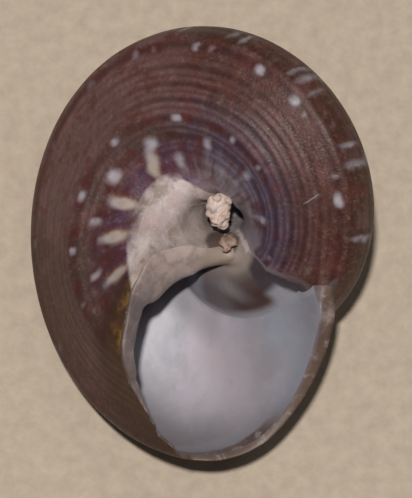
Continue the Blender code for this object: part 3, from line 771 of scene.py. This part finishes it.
def outerShellMaterial(finish, rows, period):
    # corded aragonite under a thin organic skin: satin, brown to violet, with dark lines and pale flecks
    names = ("growthAngle", "behindLip", "callusMm", "glazeDeg", "columellaEnd")
    patterns = finish["patterns"]
    material, tree, shader, noises, told = startMaterial("cordedOuterShell", patterns.values(), names)
    growthAngle, behindLip, callusMm, glazeDeg, columellaEnd = told
    pattern = dict(zip(patterns, noises))
    place = addNode(tree, "ShaderNodeTexCoord", out="Object")
    onShell = addNode(tree, "ShaderNodeUVMap", uv_map="growthMap")
    slow = addNode(tree, "ShaderNodeMath", (pattern["slow"], 0.5), operation="SUBTRACT")
    quick = addNode(tree, "ShaderNodeMath", (pattern["quick"], 0.5), operation="SUBTRACT")
    angle, distance, _ = addNode(tree, "ShaderNodeSeparateXYZ", (onShell,), out=None).outputs
    # growth angle and profile distance with uneven edges, for patterns that follow the lines
    wavy = addNode(tree, "ShaderNodeVectorMath", (quick, (3.4, 0.16, 0.0), onShell), operation="MULTIPLY_ADD")
    wavy = addNode(tree, "ShaderNodeVectorMath", (slow, (0.0, 0.34, 0.0), wavy), operation="MULTIPLY_ADD")
    along, across, _ = addNode(tree, "ShaderNodeSeparateXYZ", (wavy,), out=None).outputs

    for name, (stretch, detail, rough) in finish["drawnOut"].items():
        drawn = addNode(tree, "ShaderNodeVectorMath", (onShell, stretch), operation="MULTIPLY")
        settings = {"Vector": drawn, "Scale": 1.0, "Detail": detail, "Roughness": rough}
        pattern[name] = addNode(tree, "ShaderNodeTexNoise", settings)

    # ground colours over the profile, one set for the older side of the whorl and one for the newer side
    share, onSide, behind, callus, glaze, deepest = (
        addNode(tree, "ShaderNodeMath", terms, operation="MULTIPLY_ADD")
        for terms in (
            (slow, 1.2, distance), (slow, 60.0, angle), (quick, 6.0, behindLip), (quick, 0.35, callusMm),
            (quick, 2.6, glazeDeg), (quick, 6.0, angle),
        )
    )
    share = addNode(tree, "ShaderNodeMath", (share, finish["profileLength"]), operation="DIVIDE")
    older = addNode(tree, "ShaderNodeValToRGB", (share,), stops=finish["olderRamp"])
    newer = addNode(tree, "ShaderNodeValToRGB", (share,), stops=finish["newerRamp"])
    colour = paintOver(tree, older, ((onSide, -285.0, -195.0), newer, 1.0))

    # uneven pigment and painted light: warmer and lighter on the middle of the newer side as painted light,
    # darker and redder on the stretch before it, with streaks along the growth lines, and clouds, blotches
    # and freckles of purple, red and olive
    colour = paintOver(
        tree, colour,
        ((angle, -122.0, -142.0), (angle, -238.0, -214.0), (distance, 16.0, 13.0),
         (pattern["blotch"], 0.2, 0.55), "#7d5c5d", 0.7),
        ((angle, -240.0, -256.0), (angle, -308.0, -292.0), (distance, 16.0, 14.5), "#54322e", 0.35),
        ((pattern["streaks"], 0.5, 0.8), (distance, 17.4, 15.6), "#4b332f", 0.4),
        ((pattern["streaks"], 0.45, 0.2), (distance, 17.4, 15.6), "#8d6a62", 0.4),
        ((pattern["cloud"], 0.5, 0.72), "#86605f", 0.5),
        ((pattern["cloud"], 0.48, 0.28), "#4a3b2c", 0.55),
        ((pattern["blotch"], 0.52, 0.7), "#7a4f60", 0.35),
        ((pattern["blotch"], 0.47, 0.3), "#5b2f26", 0.4),
        ((pattern["grain"], 0.52, 0.72), "#9a827c", 0.25),
        ((pattern["grain"], 0.46, 0.28), "#3a2823", 0.3),
        ((pattern["speck"], 0.55, 0.75), "#a8928c", 0.15),
        ((pattern["speck"], 0.45, 0.25), "#33211d", 0.2),
    )

    # spiral lines: strong on the older side, faint in the middle of the newer side, with paler crests between
    firstLine, lastLine = 0.2, 18.8
    onLines = addNode(tree, "ShaderNodeMapRange", {"Value": across, 1: firstLine, 2: lastLine})
    corners = grooveCurve(finish["cordLines"], firstLine, lastLine)
    lines = addNode(tree, "ShaderNodeFloatCurve", {"Value": onLines}, points=corners)
    faint, worn, innermost, outermost = (
        addNode(tree, "ShaderNodeMapRange", {"Value": measure, 1: start, 2: end, 3: before, 4: after})
        for measure, start, end, before, after in (
            (distance, 13.6, 14.4, 0.6, 0.42), (pattern["cloud"], 0.35, 0.6, 0.55, 1.0),
            (distance, 16.5, 17.3, 1.0, 0.3), (distance, 8.4, 9.4, 0.4, 1.0),
        )
    )
    faint = softRegion(tree, faint, (distance, 10.2, 10.8), (angle, -240.0, -170.0))
    shown = addNode(tree, "ShaderNodeMath", (worn, faint), operation="SUBTRACT", use_clamp=True)
    shown = softRegion(tree, shown, (distance, 18.4, 17.7), innermost, outermost)
    violet = softRegion(tree, (distance, 12.0, 14.0), (angle, -205.0, -255.0))
    crestColour = paintOver(tree, "#8d665f", (violet, "#787291", 1.0))
    colour = paintOver(tree, colour, ((lines, 0.25, 0.0), (distance, 9.8, 11.0), shown, crestColour, 0.1))
    lines = softRegion(tree, lines, shown)
    colour = paintOver(tree, colour, (lines, paintOver(tree, "#381d1b", (violet, "#241a26", 1.0)), 0.74))

    # flecks on the lines, with dark red blotches between them and a rusty edge on the ones nearest the callus
    turnsOn = addNode(tree, "ShaderNodeMath", (along, period[0]), operation="SUBTRACT")
    turnsOn = addNode(tree, "ShaderNodeMath", (turnsOn, period[1]), operation="DIVIDE")
    rusty = addNode(tree, "ShaderNodeMath", (turnsOn, 2.6 / period[1]), operation="ADD")
    folded = [addNode(tree, "ShaderNodeMath", (source,), operation="FRACT") for source in (turnsOn, rusty)]
    flecks, edges, blotches = 0.0, 0.0, 0.0
    for name, (at, half, marks) in rows.items():
        corners = [(where + step * width, (0.3 + 0.7 * strength) * level)
                   for where, width, strength in sorted(marks, reverse=True)
                   for step, level in ((2.0, 0.0), (0.3, 1.0), (-0.3, 1.0), (-2.0, 0.0))]
        points = risingOnly([((x - period[0]) / period[1], y) for x, y in corners])
        off = addNode(tree, "ShaderNodeMath", (across, at), operation="SUBTRACT")
        off = addNode(tree, "ShaderNodeMath", (off,), operation="ABSOLUTE")
        onRow = softRegion(tree, (off, half * 1.8, half * 0.2))
        mark = addNode(tree, "ShaderNodeFloatCurve", {"Value": folded[0]}, points=points, label=name)
        flecks = addNode(tree, "ShaderNodeMath", (mark, onRow, flecks), operation="MULTIPLY_ADD")
        if name in ("lineC", "lineD"):
            label = name + "Edge"
            mark = addNode(tree, "ShaderNodeFloatCurve", {"Value": folded[1]}, points=points, label=label)
            edges = addNode(tree, "ShaderNodeMath", (mark, onRow, edges), operation="MULTIPLY_ADD")
        if name not in ("flank", "shoulder"):
            nearRow = softRegion(tree, (off, half * 1.7, half * 0.8))
            blotches = addNode(tree, "ShaderNodeMath", (nearRow, blotches), operation="MAXIMUM")
    edges = addNode(tree, "ShaderNodeMath", (quick, 0.5, edges), operation="MULTIPLY_ADD")
    flecks = addNode(tree, "ShaderNodeMath", (quick, 0.5, flecks), operation="MULTIPLY_ADD")
    warmer = softRegion(tree, (distance, 15.8, 17.4), (angle, -225.0, -195.0))
    fleckColour = paintOver(tree, "#b6b1bd", (warmer, "#b6a8a0", 1.0))
    # after the flecks, painted highlights: glints drawn out along the crests on the shoulder of the older
    # side, and fine glinting specks on the crests
    colour = paintOver(
        tree, colour,
        (blotches, (pattern["broken"], 0.42, 0.62), "#52231f", 0.6),
        ((edges, 0.25, 0.85), (angle, -240.0, -180.0), "#82532f", 0.45),
        ((flecks, 0.12, 1.1), fleckColour, 0.92),
        # painted highlight: glints drawn out along the crests on the shoulder of the older side
        ((pattern["strokes"], 0.55, 0.72), (angle, -262.0, -278.0), (angle, -318.0, -298.0),
         (distance, 9.4, 10.2), (distance, 12.6, 11.4), "#bb9a98", 0.6),
        # painted highlight: fine glinting specks on the crests
        ((pattern["speck"], 0.66, 0.74), (lines, 0.4, 0.1), "#b59c98", 0.1),
        ((pattern["blotch"], 0.54, 0.66), (distance, 17.0, 15.5), "#4d4030", 0.3),
        ((pattern["blotch"], 0.47, 0.35), (distance, 17.0, 15.5), "#6b3f3a", 0.35),
    )
    # an old scratch below them
    fromScratch = addNode(tree, "ShaderNodeVectorMath", (onShell, finish["scratch"]), operation="SUBTRACT")
    slant = (fromScratch, (0.34, 1.0, 0.0))
    scratch = addNode(tree, "ShaderNodeVectorMath", slant, out="Value", operation="DOT_PRODUCT")
    scratch = addNode(tree, "ShaderNodeMath", (scratch,), operation="ABSOLUTE")
    length = awayFrom(tree, onShell, finish["scratch"], (0.4, 1.2, 0.0))
    colour = paintOver(tree, colour, ((scratch, 0.2, 0.05), (length, 1.2, 0.7), "#a08f98", 0.7))

    # brown stain behind the lip, ochre in spots
    inSpots = softRegion(tree, (pattern["blotch"], 0.4, 0.62), (distance, 14.2, 15.2))
    colour = paintOver(
        tree, colour,
        ((behind, 24.0, 11.0), (distance, 6.5, 9.5), (distance, 19.2, 18.2), "#3e271f", 0.8),
        ((behind, 12.5, 5.0), (distance, 9.3, 12.0), (distance, 18.4, 17.2),
         paintOver(tree, "#4b3322", (inSpots, "#8a6634", 1.0)), 0.85),
    )

    # callus enamel: cream, mottled with grey, olive and rose, with two whiter painted highlights and tiny
    # painted glints
    callus = addNode(tree, "ShaderNodeMath", (slow, 0.9, callus), operation="MULTIPLY_ADD")
    callus = softRegion(tree, (callus, -0.24, 0.1), (growthAngle, -345.0, -318.0))
    enamel = addNode(tree, "ShaderNodeValToRGB", (pattern["enamel"],), stops=finish["callusRamp"])
    callusHighlights = [awayFrom(tree, wavy, centre, scale) for centre, scale in finish["callusHighlights"]]
    enamel = paintOver(
        tree, enamel,
        ((pattern["slow"], 0.5, 0.65), "#b39a92", 0.5),
        # painted highlights: two whiter patches on the callus
        ((callusHighlights[0], 1.1, 0.3), (pattern["enamel"], 0.5, 0.66), "#e6e1e2", 0.45),
        ((callusHighlights[1], 1.2, 0.2), (pattern["enamel"], 0.32, 0.56), "#e2d9d9", 0.75),
        ((pattern["blotch"], 0.52, 0.34), "#857769", 0.65),
        ((pattern["blotch"], 0.52, 0.66), "#cfb3ac", 0.4),
        # painted glints: tiny white specks
        ((pattern["speck"], 0.6, 0.7), "#efeaea", 0.3),
        ((pattern["grain"], 0.56, 0.7), "#ddd3d0", 0.25),
        ((distance, 20.6, 22.6), "#a89b94", 0.5),
    )
    colour = paintOver(tree, colour, (callus, enamel, 1.0))
    # a darker patch round the small lump of grit, a grey slope beside it and a painted highlight along the
    # crest between them
    spot = addNode(tree, "ShaderNodeVectorMath", {0: place, "Scale": 1000.0}, operation="SCALE")
    _, _, level = addNode(tree, "ShaderNodeSeparateXYZ", (spot,), out=None).outputs
    fromPool = addNode(tree, "ShaderNodeVectorMath", (spot, finish["darkPatchExtent"][0]), operation="SUBTRACT")
    fromPool = addNode(tree, "ShaderNodeVectorMath", (fromPool, finish["darkPatchExtent"][1]), operation="DIVIDE")
    uneven = (quick, (0.5, 0.5, 0.0), fromPool)
    fromPool = addNode(tree, "ShaderNodeVectorMath", uneven, operation="MULTIPLY_ADD")
    fromPool = addNode(tree, "ShaderNodeVectorMath", (fromPool, (1.0, 1.0, 0.0)), operation="MULTIPLY")
    fromPool = addNode(tree, "ShaderNodeVectorMath", (fromPool,), out="Value", operation="LENGTH")
    darkPatch = softRegion(tree, (fromPool, 1.15, 0.85), (level, 4.5, 5.2))
    middle, lie = finish["crestHighlight"]
    fromCrest = addNode(tree, "ShaderNodeVectorMath", (spot, middle), operation="SUBTRACT")
    turning = {"Vector": fromCrest, "Angle": lie}
    fromCrest = addNode(tree, "ShaderNodeVectorRotate", turning, rotation_type="Z_AXIS")
    beside, lengthwise, _ = addNode(tree, "ShaderNodeSeparateXYZ", (fromCrest,), out=None).outputs
    lengthwise = addNode(tree, "ShaderNodeMath", (lengthwise,), operation="ABSOLUTE")
    above = (level, 5.8, 6.2)
    slope = softRegion(tree, (beside, -0.1, 0.1), (beside, 0.75, 0.45), (lengthwise, 1.0, 0.7), above)
    crest = addNode(tree, "ShaderNodeMath", (quick, 0.2, beside), operation="MULTIPLY_ADD")
    crest = addNode(tree, "ShaderNodeMath", (crest,), operation="ABSOLUTE")
    granular = (pattern["grain"], 0.35, 0.5)
    crest = softRegion(tree, (crest, 0.13, 0.04), (lengthwise, 0.95, 0.75), above, granular)

    # the whorl before, inside the mouth: a pale ridge, painted shade as a dark band under it, nacre, and a
    # dark patch in the depth
    inMouth = softRegion(tree, (distance, 8.7, 9.1), (distance, 18.6, 18.2))
    ridgeColour = paintOver(tree, "#64545a", ((distance, 12.0, 15.5), "#787074", 1.0))
    toNacre = softRegion(tree, (glaze, -6.0, -9.5), (across, 13.4, 12.5), inMouth)
    film = addNode(tree, "ShaderNodeValToRGB", (pattern["film"],), stops=finish["pearlRamp"])
    colour = paintOver(
        tree, colour,
        ((glaze, 2.8, 1.3), inMouth, ridgeColour, 0.85),
        # painted shade: the dark band under the ridge
        ((glaze, 0.2, -1.2), inMouth, "#4c444b", 1.0),
        (toNacre, film, 1.0),
    )
    # the dark patch: dark below, olive beige above where it runs into the columella, with a painted highlight
    # as a paler cloud on it
    deep = softRegion(tree, (deepest, -371.0, -379.0), (across, 17.4, 16.6), (across, 11.3, 12.3), inMouth)
    depth = addNode(tree, "ShaderNodeMapRange", {"Value": across, 1: 11.0, 2: 17.0})
    depth = addNode(tree, "ShaderNodeValToRGB", (depth,), stops=finish["depthRamp"])
    fromCloud = addNode(tree, "ShaderNodeVectorMath", (wavy, (-401.0, 14.0, 0.0)), operation="SUBTRACT")
    spans = [addNode(tree, "ShaderNodeVectorMath", (fromCloud, span), out="Value", operation="DOT_PRODUCT")
             for span in ((0.045, -0.3, 0.0), (0.07, 0.85, 0.0))]
    cloud = addNode(tree, "ShaderNodeCombineXYZ", spans)
    cloud = addNode(tree, "ShaderNodeVectorMath", (cloud,), out="Value", operation="LENGTH")
    # last, beige glaze round the inner end of the columella, and the dark patch, the slope and the painted
    # highlight on the crest in the umbilicus
    colour = paintOver(
        tree, colour,
        # darker deep in the mouth on the whorl before
        (deep, depth, 1.0),
        ((deepest, -398.0, -412.0), (across, 15.2, 14.4), deep, "#7b7278", 0.75),
        ((deepest, -424.0, -438.0), (across, 15.0, 13.8), deep, film, 1.0),
        # painted highlight: the paler cloud on the dark patch
        ((cloud, 1.3, 0.0), inMouth, "#8e888b", 0.8),
        ((columellaEnd, 0.4, 0.85), (distance, 14.8, 15.8), "#a0938d", 1.0),
        # darker round the small lump of grit
        (darkPatch, "#5d4e49", 0.9),
        (slope, "#857b85", 0.75),
        # painted highlight: a whitish line along the crest of the umbilical rim
        (crest, "#cdc3c1", 0.85),
    )

    pale = addNode(tree, "ShaderNodeMath", (callus, toNacre), operation="MAXIMUM")
    rough = addNode(tree, "ShaderNodeMapRange", {"Value": pattern["grain"], 1: 0.2, 2: 0.8, 3: 0.34, 4: 0.6})
    rough = addNode(tree, "ShaderNodeMix", {0: pale, 2: rough, 3: 0.36}, data_type="FLOAT")
    height = pattern["grain"]
    for name, strength in (("speck", 0.7), ("streaks", 0.4)):
        height = addNode(tree, "ShaderNodeMath", (pattern[name], strength, height), operation="MULTIPLY_ADD")
    bump = addNode(tree, "ShaderNodeBump", {"Strength": 0.5, "Distance": 0.05 * mm, "Height": height})
    # the organic skin dulls the gloss of the aragonite
    fillInputs(tree, shader, {
        "Base Color": colour, "Roughness": rough, "Normal": bump, "IOR": 1.5, "Specular IOR Level": 0.28})
    return material


def nacreMaterial(finish):
    # nacre lining: mother-of-pearl, a silky gloss with faint rose and blue clouds, greyer towards the lip,
    # brighter deeper in by painted highlight
    material, tree, shader, noises, told = startMaterial(
        "nacreLining", finish["nacrePatterns"], ("behindLip", "columellaEnd"))
    (soft, fine, film), (behindLip, columellaEnd) = noises, told
    onShell = addNode(tree, "ShaderNodeUVMap", uv_map="growthMap")
    angle, distance, _ = addNode(tree, "ShaderNodeSeparateXYZ", (onShell,), out=None).outputs
    # partly the nacre's own grey near the lip, partly a painted highlight that brightens it deeper in
    deeper = addNode(tree, "ShaderNodeMath", (soft, 18.0, angle), operation="MULTIPLY_ADD")
    deeper = addNode(tree, "ShaderNodeMapRange", {"Value": deeper, 1: 19.0, 2: -81.0})
    colour = addNode(tree, "ShaderNodeValToRGB", (deeper,), stops=finish["nacreRamp"])
    colour = paintOver(
        tree, colour,
        ((film, 0.48, 0.66), "#cdb6be", 0.2),
        ((film, 0.5, 0.34), "#a3b4c6", 0.3),
    )
    behind = addNode(tree, "ShaderNodeMath", (soft, 12.0, behindLip), operation="MULTIPLY_ADD")
    colour = paintOver(
        tree, colour,
        ((behind, 21.0, 8.0), "#77727c", 0.45),
        ((soft, 0.5, 0.36), "#8f8a92", 0.3),
    )
    # painted shade: darker towards the bottom of the mouth and near the suture by the lip
    below = addNode(tree, "ShaderNodeMath", (soft, 1.6, distance), operation="MULTIPLY_ADD")
    colour = paintOver(
        tree, colour,
        ((below, 3.2, 7.8), (distance, 12.5, 11.0), "#706b6f", 0.9),
        ((distance, 1.6, 0.4), (angle, -48.0, -60.0), "#8e8a91", 0.6),
        ((fine, 0.55, 0.75), "#dcdce2", 0.08),
        ((fine, 0.45, 0.25), "#77747c", 0.12),
    )
    # brown again at the broken margin below, and painted shade in brown far round the corner on the left
    margin = addNode(tree, "ShaderNodeMath", (fine, 3.0, behindLip), operation="MULTIPLY_ADD")
    onMargin = (distance, 3.6, 5.2), (distance, 15.5, 13.5)
    colour = paintOver(
        tree, colour,
        ((margin, 17.0, 13.0), *onMargin, "#9a99a3", 0.5),
        ((margin, 8.4, 6.0), *onMargin, "#5d483c", 0.9),
        ((margin, 9.5, 8.2), (fine, 0.54, 0.66), *onMargin, "#a79e9c", 0.6),
        # painted shade: brown where the left lip and the columella shade the lining
        ((angle, -86.0, -99.0), "#6b5b4e", 0.85),
        ((columellaEnd, 0.02, 0.3), "#8f8072", 1.0),
    )
    rough = addNode(tree, "ShaderNodeMapRange", {"Value": soft, 3: 0.28, 4: 0.44})
    bump = addNode(tree, "ShaderNodeBump", {"Strength": 0.3, "Distance": 0.06 * mm, "Height": soft})
    fillInputs(tree, shader, {"Base Color": colour, "Roughness": rough, "Normal": bump, "IOR": 1.6})
    return material


def lipMaterial(finish):
    # broken edge of the lip: horny brown film, pinkish layer, then nacre, enamelled over along the columella
    material, tree, shader, noises, told = startMaterial(
        "lipEdgeLayers", finish["lipPatterns"], ("profileMm", "columellaEnd"))
    (uneven, patchy), (profileMm, columellaEnd) = noises, told
    onShell = addNode(tree, "ShaderNodeUVMap", uv_map="growthMap")
    _, across, _ = addNode(tree, "ShaderNodeSeparateXYZ", (onShell,), out=None).outputs
    across = addNode(tree, "ShaderNodeMath", (uneven, 0.6, across), operation="MULTIPLY_ADD")
    layers = addNode(tree, "ShaderNodeMapRange", {"Value": across, 1: 0.3, 2: 1.3})
    thin = addNode(tree, "ShaderNodeValToRGB", (layers,), stops=finish["thinLipRamp"])
    thick = addNode(tree, "ShaderNodeValToRGB", (layers,), stops=finish["thickLipRamp"])
    enamel = addNode(tree, "ShaderNodeValToRGB", (layers,), stops=finish["columellaRamp"])
    colour = paintOver(
        tree, thin,
        ((profileMm, 9.5, 12.5), thick, 1.0),
        ((profileMm, 16.8, 20.0), enamel, 1.0),
        ((uneven, 0.5, 0.3), "#7d726b", 0.5),
        ((uneven, 0.55, 0.75), "#bdb0ad", 0.5),
        ((patchy, 0.56, 0.3), "#5f5049", 0.4),
        ((patchy, 0.54, 0.7), "#c6bbb8", 0.4),
        ((columellaEnd, 0.0, 0.5), "#9a8a7c", 0.8),
    )
    bump = addNode(tree, "ShaderNodeBump", {"Strength": 0.35, "Distance": 0.05 * mm, "Height": uneven})
    fillInputs(tree, shader, {"Base Color": colour, "Roughness": 0.5, "Normal": bump})
    return material


outerLayer = outerShellMaterial(shellFinish, fleckRows, fleckPeriod)
shellLayers = (outerLayer, nacreMaterial(shellFinish), lipMaterial(shellFinish))
windShell, windingValues = windingTree(shellShape, shellFinish, shellLayers)
shell = growPiece("woundShell", flatShell(shellShape), windShell, windingValues)
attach(shell, "root")
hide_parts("shell")
print("shell wound:", len(shell.data.polygons), "faces")


gritShape = {
    # node, centre, half size, how much it narrows towards -Y, lean in degrees, seed, finish and its shades
    "pieces": {
        "gritLumpLarge": (
            "grit_large", (0.98, 1.28, 7.80), (0.75, 1.04, 0.45), 0.55, 24.0, 3, "calcareousGrit",
            ((0.32, "#b0978a"), (0.42, "#cdb7ac"), (0.55, "#dfcbc3"), (0.7, "#eee0db")),
        ),
        "gritLumpSmall": (
            "grit_small", (1.273, -0.037, 7.036), (0.42, 0.40, 0.34), 0.0, 21.0, 8, "siltyGrit",
            ((0.3, "#5d4a41"), (0.42, "#83695d"), (0.55, "#a58a7e"), (0.7, "#c8b0a5")),
        ),
    },
    "surface": (1400.0, 5.0, 0.62),  # scale per metre, detail and roughness of its noise
    "grainSize": 0.25,  # millimetres, radius of a middling grain
    "grainsPerSquareMm": 8.0,
    "grainScale": ((0.4, 0.4, 0.4), (1.3, 1.2, 1.25)),  # least and most, of that radius
    "blend": 0.055,  # millimetres, how finely the grains are melted together
    "coreShare": 0.8,  # size of the core that the grains are spread on
    "sand": (5.0, 3.0, 0.24),  # scale per millimetre, detail, and height in millimetres of its noise
}


def gritTree(shape, seed, material):
    values = {
        "Grain Size": shape["grainSize"], "Grains per Square Mm": shape["grainsPerSquareMm"],
        "Blend": shape["blend"], "Seed": seed,
    }
    tree, filled, given = startTree("cementGrit", values)
    core, seed, blend = given["Geometry"], given["Seed"], given["Blend"]
    spreading = {"Mesh": core, "Density": given["Grains per Square Mm"], "Seed": seed}
    spread = addNode(tree, "GeometryNodeDistributePointsOnFaces", spreading, distribute_method="RANDOM")
    grain = addNode(tree, "GeometryNodeMeshIcoSphere", {"Radius": given["Grain Size"], "Subdivisions": 2})
    size, turn = (
        addNode(tree, "FunctionNodeRandomValue", {0: least, 1: most, "Seed": seed}, data_type="FLOAT_VECTOR")
        for least, most in (shape["grainScale"], ((0.0,) * 3, (6.28,) * 3))
    )
    placing = {"Points": spread, "Instance": grain, "Rotation": turn, "Scale": size}
    grains = addNode(tree, "GeometryNodeInstanceOnPoints", placing)
    grains = addNode(tree, "GeometryNodeRealizeInstances", (grains,))
    joined = addNode(tree, "GeometryNodeJoinGeometry", (grains,))
    tree.links.new(core, joined.node.inputs[0])
    filling = {"Mesh": joined, "Voxel Size": blend, "Density": 1.0}
    volume = addNode(tree, "GeometryNodeMeshToVolume", filling, resolution_mode="VOXEL_SIZE")
    melting = {"Volume": volume, "Voxel Size": blend, "Threshold": 0.1}
    cemented = addNode(tree, "GeometryNodeVolumeToMesh", melting, resolution_mode="VOXEL_SIZE")
    # a fine sandy surface over the melted lumps
    here, outward = addNode(tree, "GeometryNodeInputPosition"), addNode(tree, "GeometryNodeInputNormal")
    scale, detail, height = shape["sand"]
    pits = addNode(tree, "ShaderNodeTexNoise", {"Scale": scale, "Detail": detail, "Vector": here})
    lift = addNode(tree, "ShaderNodeMath", (pits, height, -height / 2), operation="MULTIPLY_ADD")
    offset = addNode(tree, "ShaderNodeVectorMath", {0: outward, "Scale": lift}, operation="SCALE")
    sandy = addNode(tree, "GeometryNodeSetPosition", {"Geometry": cemented, "Offset": offset})
    shaded = addNode(tree, "GeometryNodeSetShadeSmooth", (sandy,))
    endTree(tree, shaded, material)
    return tree, filled


def gritMaterial(name, shades):
    # cemented calcareous sand: matt, pinkish white, stained brown where it sits deep in silt
    material, tree, shader, (soft,), _ = startMaterial(name, (gritShape["surface"],))
    colour = addNode(tree, "ShaderNodeValToRGB", (soft,), stops=shades)
    bump = addNode(tree, "ShaderNodeBump", {"Strength": 0.6, "Distance": 0.05 * mm, "Height": soft})
    fillInputs(tree, shader, {"Base Color": colour, "Roughness": 0.8, "Normal": bump})
    return material


def lumpMesh(centre, half, pear, lean, coreShare):
    # a plain core: rings from pole to pole along Y, narrower towards -Y
    around, rings = 20, 12
    polar = np.pi * np.arange(1, rings) / rings
    turn = 2 * np.pi * np.arange(around) / around
    across, along = np.sin(polar), np.repeat(-np.cos(polar)[:, None], around, 1)
    ring = np.stack([np.outer(across, np.cos(turn)), along, np.outer(across, np.sin(turn))], -1)
    verts = np.vstack([[[0, -1, 0]], ring.reshape(-1, 3), [[0, 1, 0]]])
    width = (1 - pear * (0.5 - 0.5 * verts[:, 1]))[:, None]
    verts = verts * np.hstack([width, np.ones_like(width), width]) * np.array(half) * coreShare
    x, y, z = verts.T
    cos, sin = math.cos(math.radians(lean)), math.sin(math.radians(lean))
    verts = np.stack([x, y * cos - z * sin, y * sin + z * cos], -1) + centre
    faces, top = [], len(verts) - 1
    for step in range(around):
        after = (step + 1) % around
        faces += [[0, 1 + step, 1 + after], [top, top - around + after, top - around + step]]
        for r in range(rings - 2):
            a, b = 1 + r * around, 1 + (r + 1) * around
            faces.append([a + step, b + step, b + after, a + after])
    mesh = bpy.data.meshes.new("gritCore")
    mesh.from_pydata(verts.tolist(), [], faces)
    return mesh


for name, (node, centre, half, pear, lean, seed, finishName, shades) in gritShape["pieces"].items():
    cementGrit, gritValues = gritTree(gritShape, seed, gritMaterial(finishName, shades))
    core = lumpMesh(centre, half, pear, lean, gritShape["coreShare"])
    lump = growPiece(name, core, cementGrit, gritValues)
    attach(lump, "root")
    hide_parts(node)
    print("grit cemented:", name, len(lump.data.polygons), "faces")


studio = {
    "tableSize": 0.6,  # metres
    "mottle": (1400.0, 6.0, 0.65),  # scale per metre, detail, roughness
    # place and width in metres, watts, colour
    "keyLight": ((-0.016, -0.023, 0.30), 0.013, 0.67, "#fffaf4"),
    "fillLight": ((0.10, 0.05, 0.28), 0.05, 0.022, "#ffffff"),
    "aim": (0.0, 0.0, 0.006),  # metres, what the lights point at
    "skyStrength": 0.065,
    # the camera: what it looks at and how far it stands back in millimetres, and how it is turned
    "target": (0.3677, -0.0293, 5.4398),
    "distance": 160.0,
    "toCamera": (-0.0221, -0.202459, 0.979042),
    "upward": (0.004468, 0.979251, 0.202603),
    "focalLength": 247.3,
}

tableMesh = bpy.data.meshes.new("tableTop")
half = studio["tableSize"] / 2
tableCorners = [(x * half, y * half, 0) for x, y in ((-1, -1), (1, -1), (1, 1), (-1, 1))]
tableMesh.from_pydata(tableCorners, [], [(0, 1, 2, 3)])
table = bpy.data.objects.new("tableTop", tableMesh)
bpy.context.scene.collection.objects.link(table)
# uncoated beige card: matt, with a faint fibrous mottle
card, cardTree, cardShader, (mottle,), _ = startMaterial("paperCard", (studio["mottle"],))
cardColour = addNode(cardTree, "ShaderNodeValToRGB", (mottle,), stops=((0.3, "#bfb09e"), (0.7, "#d2c3b1")))
fillInputs(cardTree, cardShader, {"Base Color": cardColour, "Roughness": 0.9})
tableMesh.materials.append(card)

for name in ("keyLight", "fillLight"):
    place, width, power, tint = studio[name]
    light = bpy.data.lights.new(name, "AREA")
    light.shape, light.size, light.energy, light.color = "DISK", width, power, linear(tint)[:3]
    lamp = bpy.data.objects.new(name, light)
    lamp.location = place
    lamp.rotation_euler = (Vector(studio["aim"]) - Vector(place)).to_track_quat("-Z", "Y").to_euler()
    bpy.context.scene.collection.objects.link(lamp)

world = bpy.data.worlds.new("softRoom")
world.use_nodes = True
world.node_tree.nodes["Background"].inputs[0].default_value = linear("#efe9e2")
world.node_tree.nodes["Background"].inputs[1].default_value = studio["skyStrength"]
bpy.context.scene.world = world

toCamera = Vector(studio["toCamera"]).normalized()
side = Vector(studio["upward"]).cross(toCamera).normalized()
cameraData = bpy.data.cameras.new("camera")
cameraData.sensor_width, cameraData.lens = 36.0, studio["focalLength"]
cameraData.clip_start, cameraData.clip_end = 0.001, 10.0
camera = bpy.data.objects.new("camera", cameraData)
turn = Matrix((side, toCamera.cross(side), toCamera)).transposed().to_4x4()
standing = (Vector(studio["target"]) + toCamera * studio["distance"]) * mm
camera.matrix_world = Matrix.Translation(standing) @ turn
bpy.context.scene.collection.objects.link(camera)
bpy.context.scene.camera = camera
bpy.context.scene.view_settings.view_transform = "Standard"
print("table, light and camera ready")
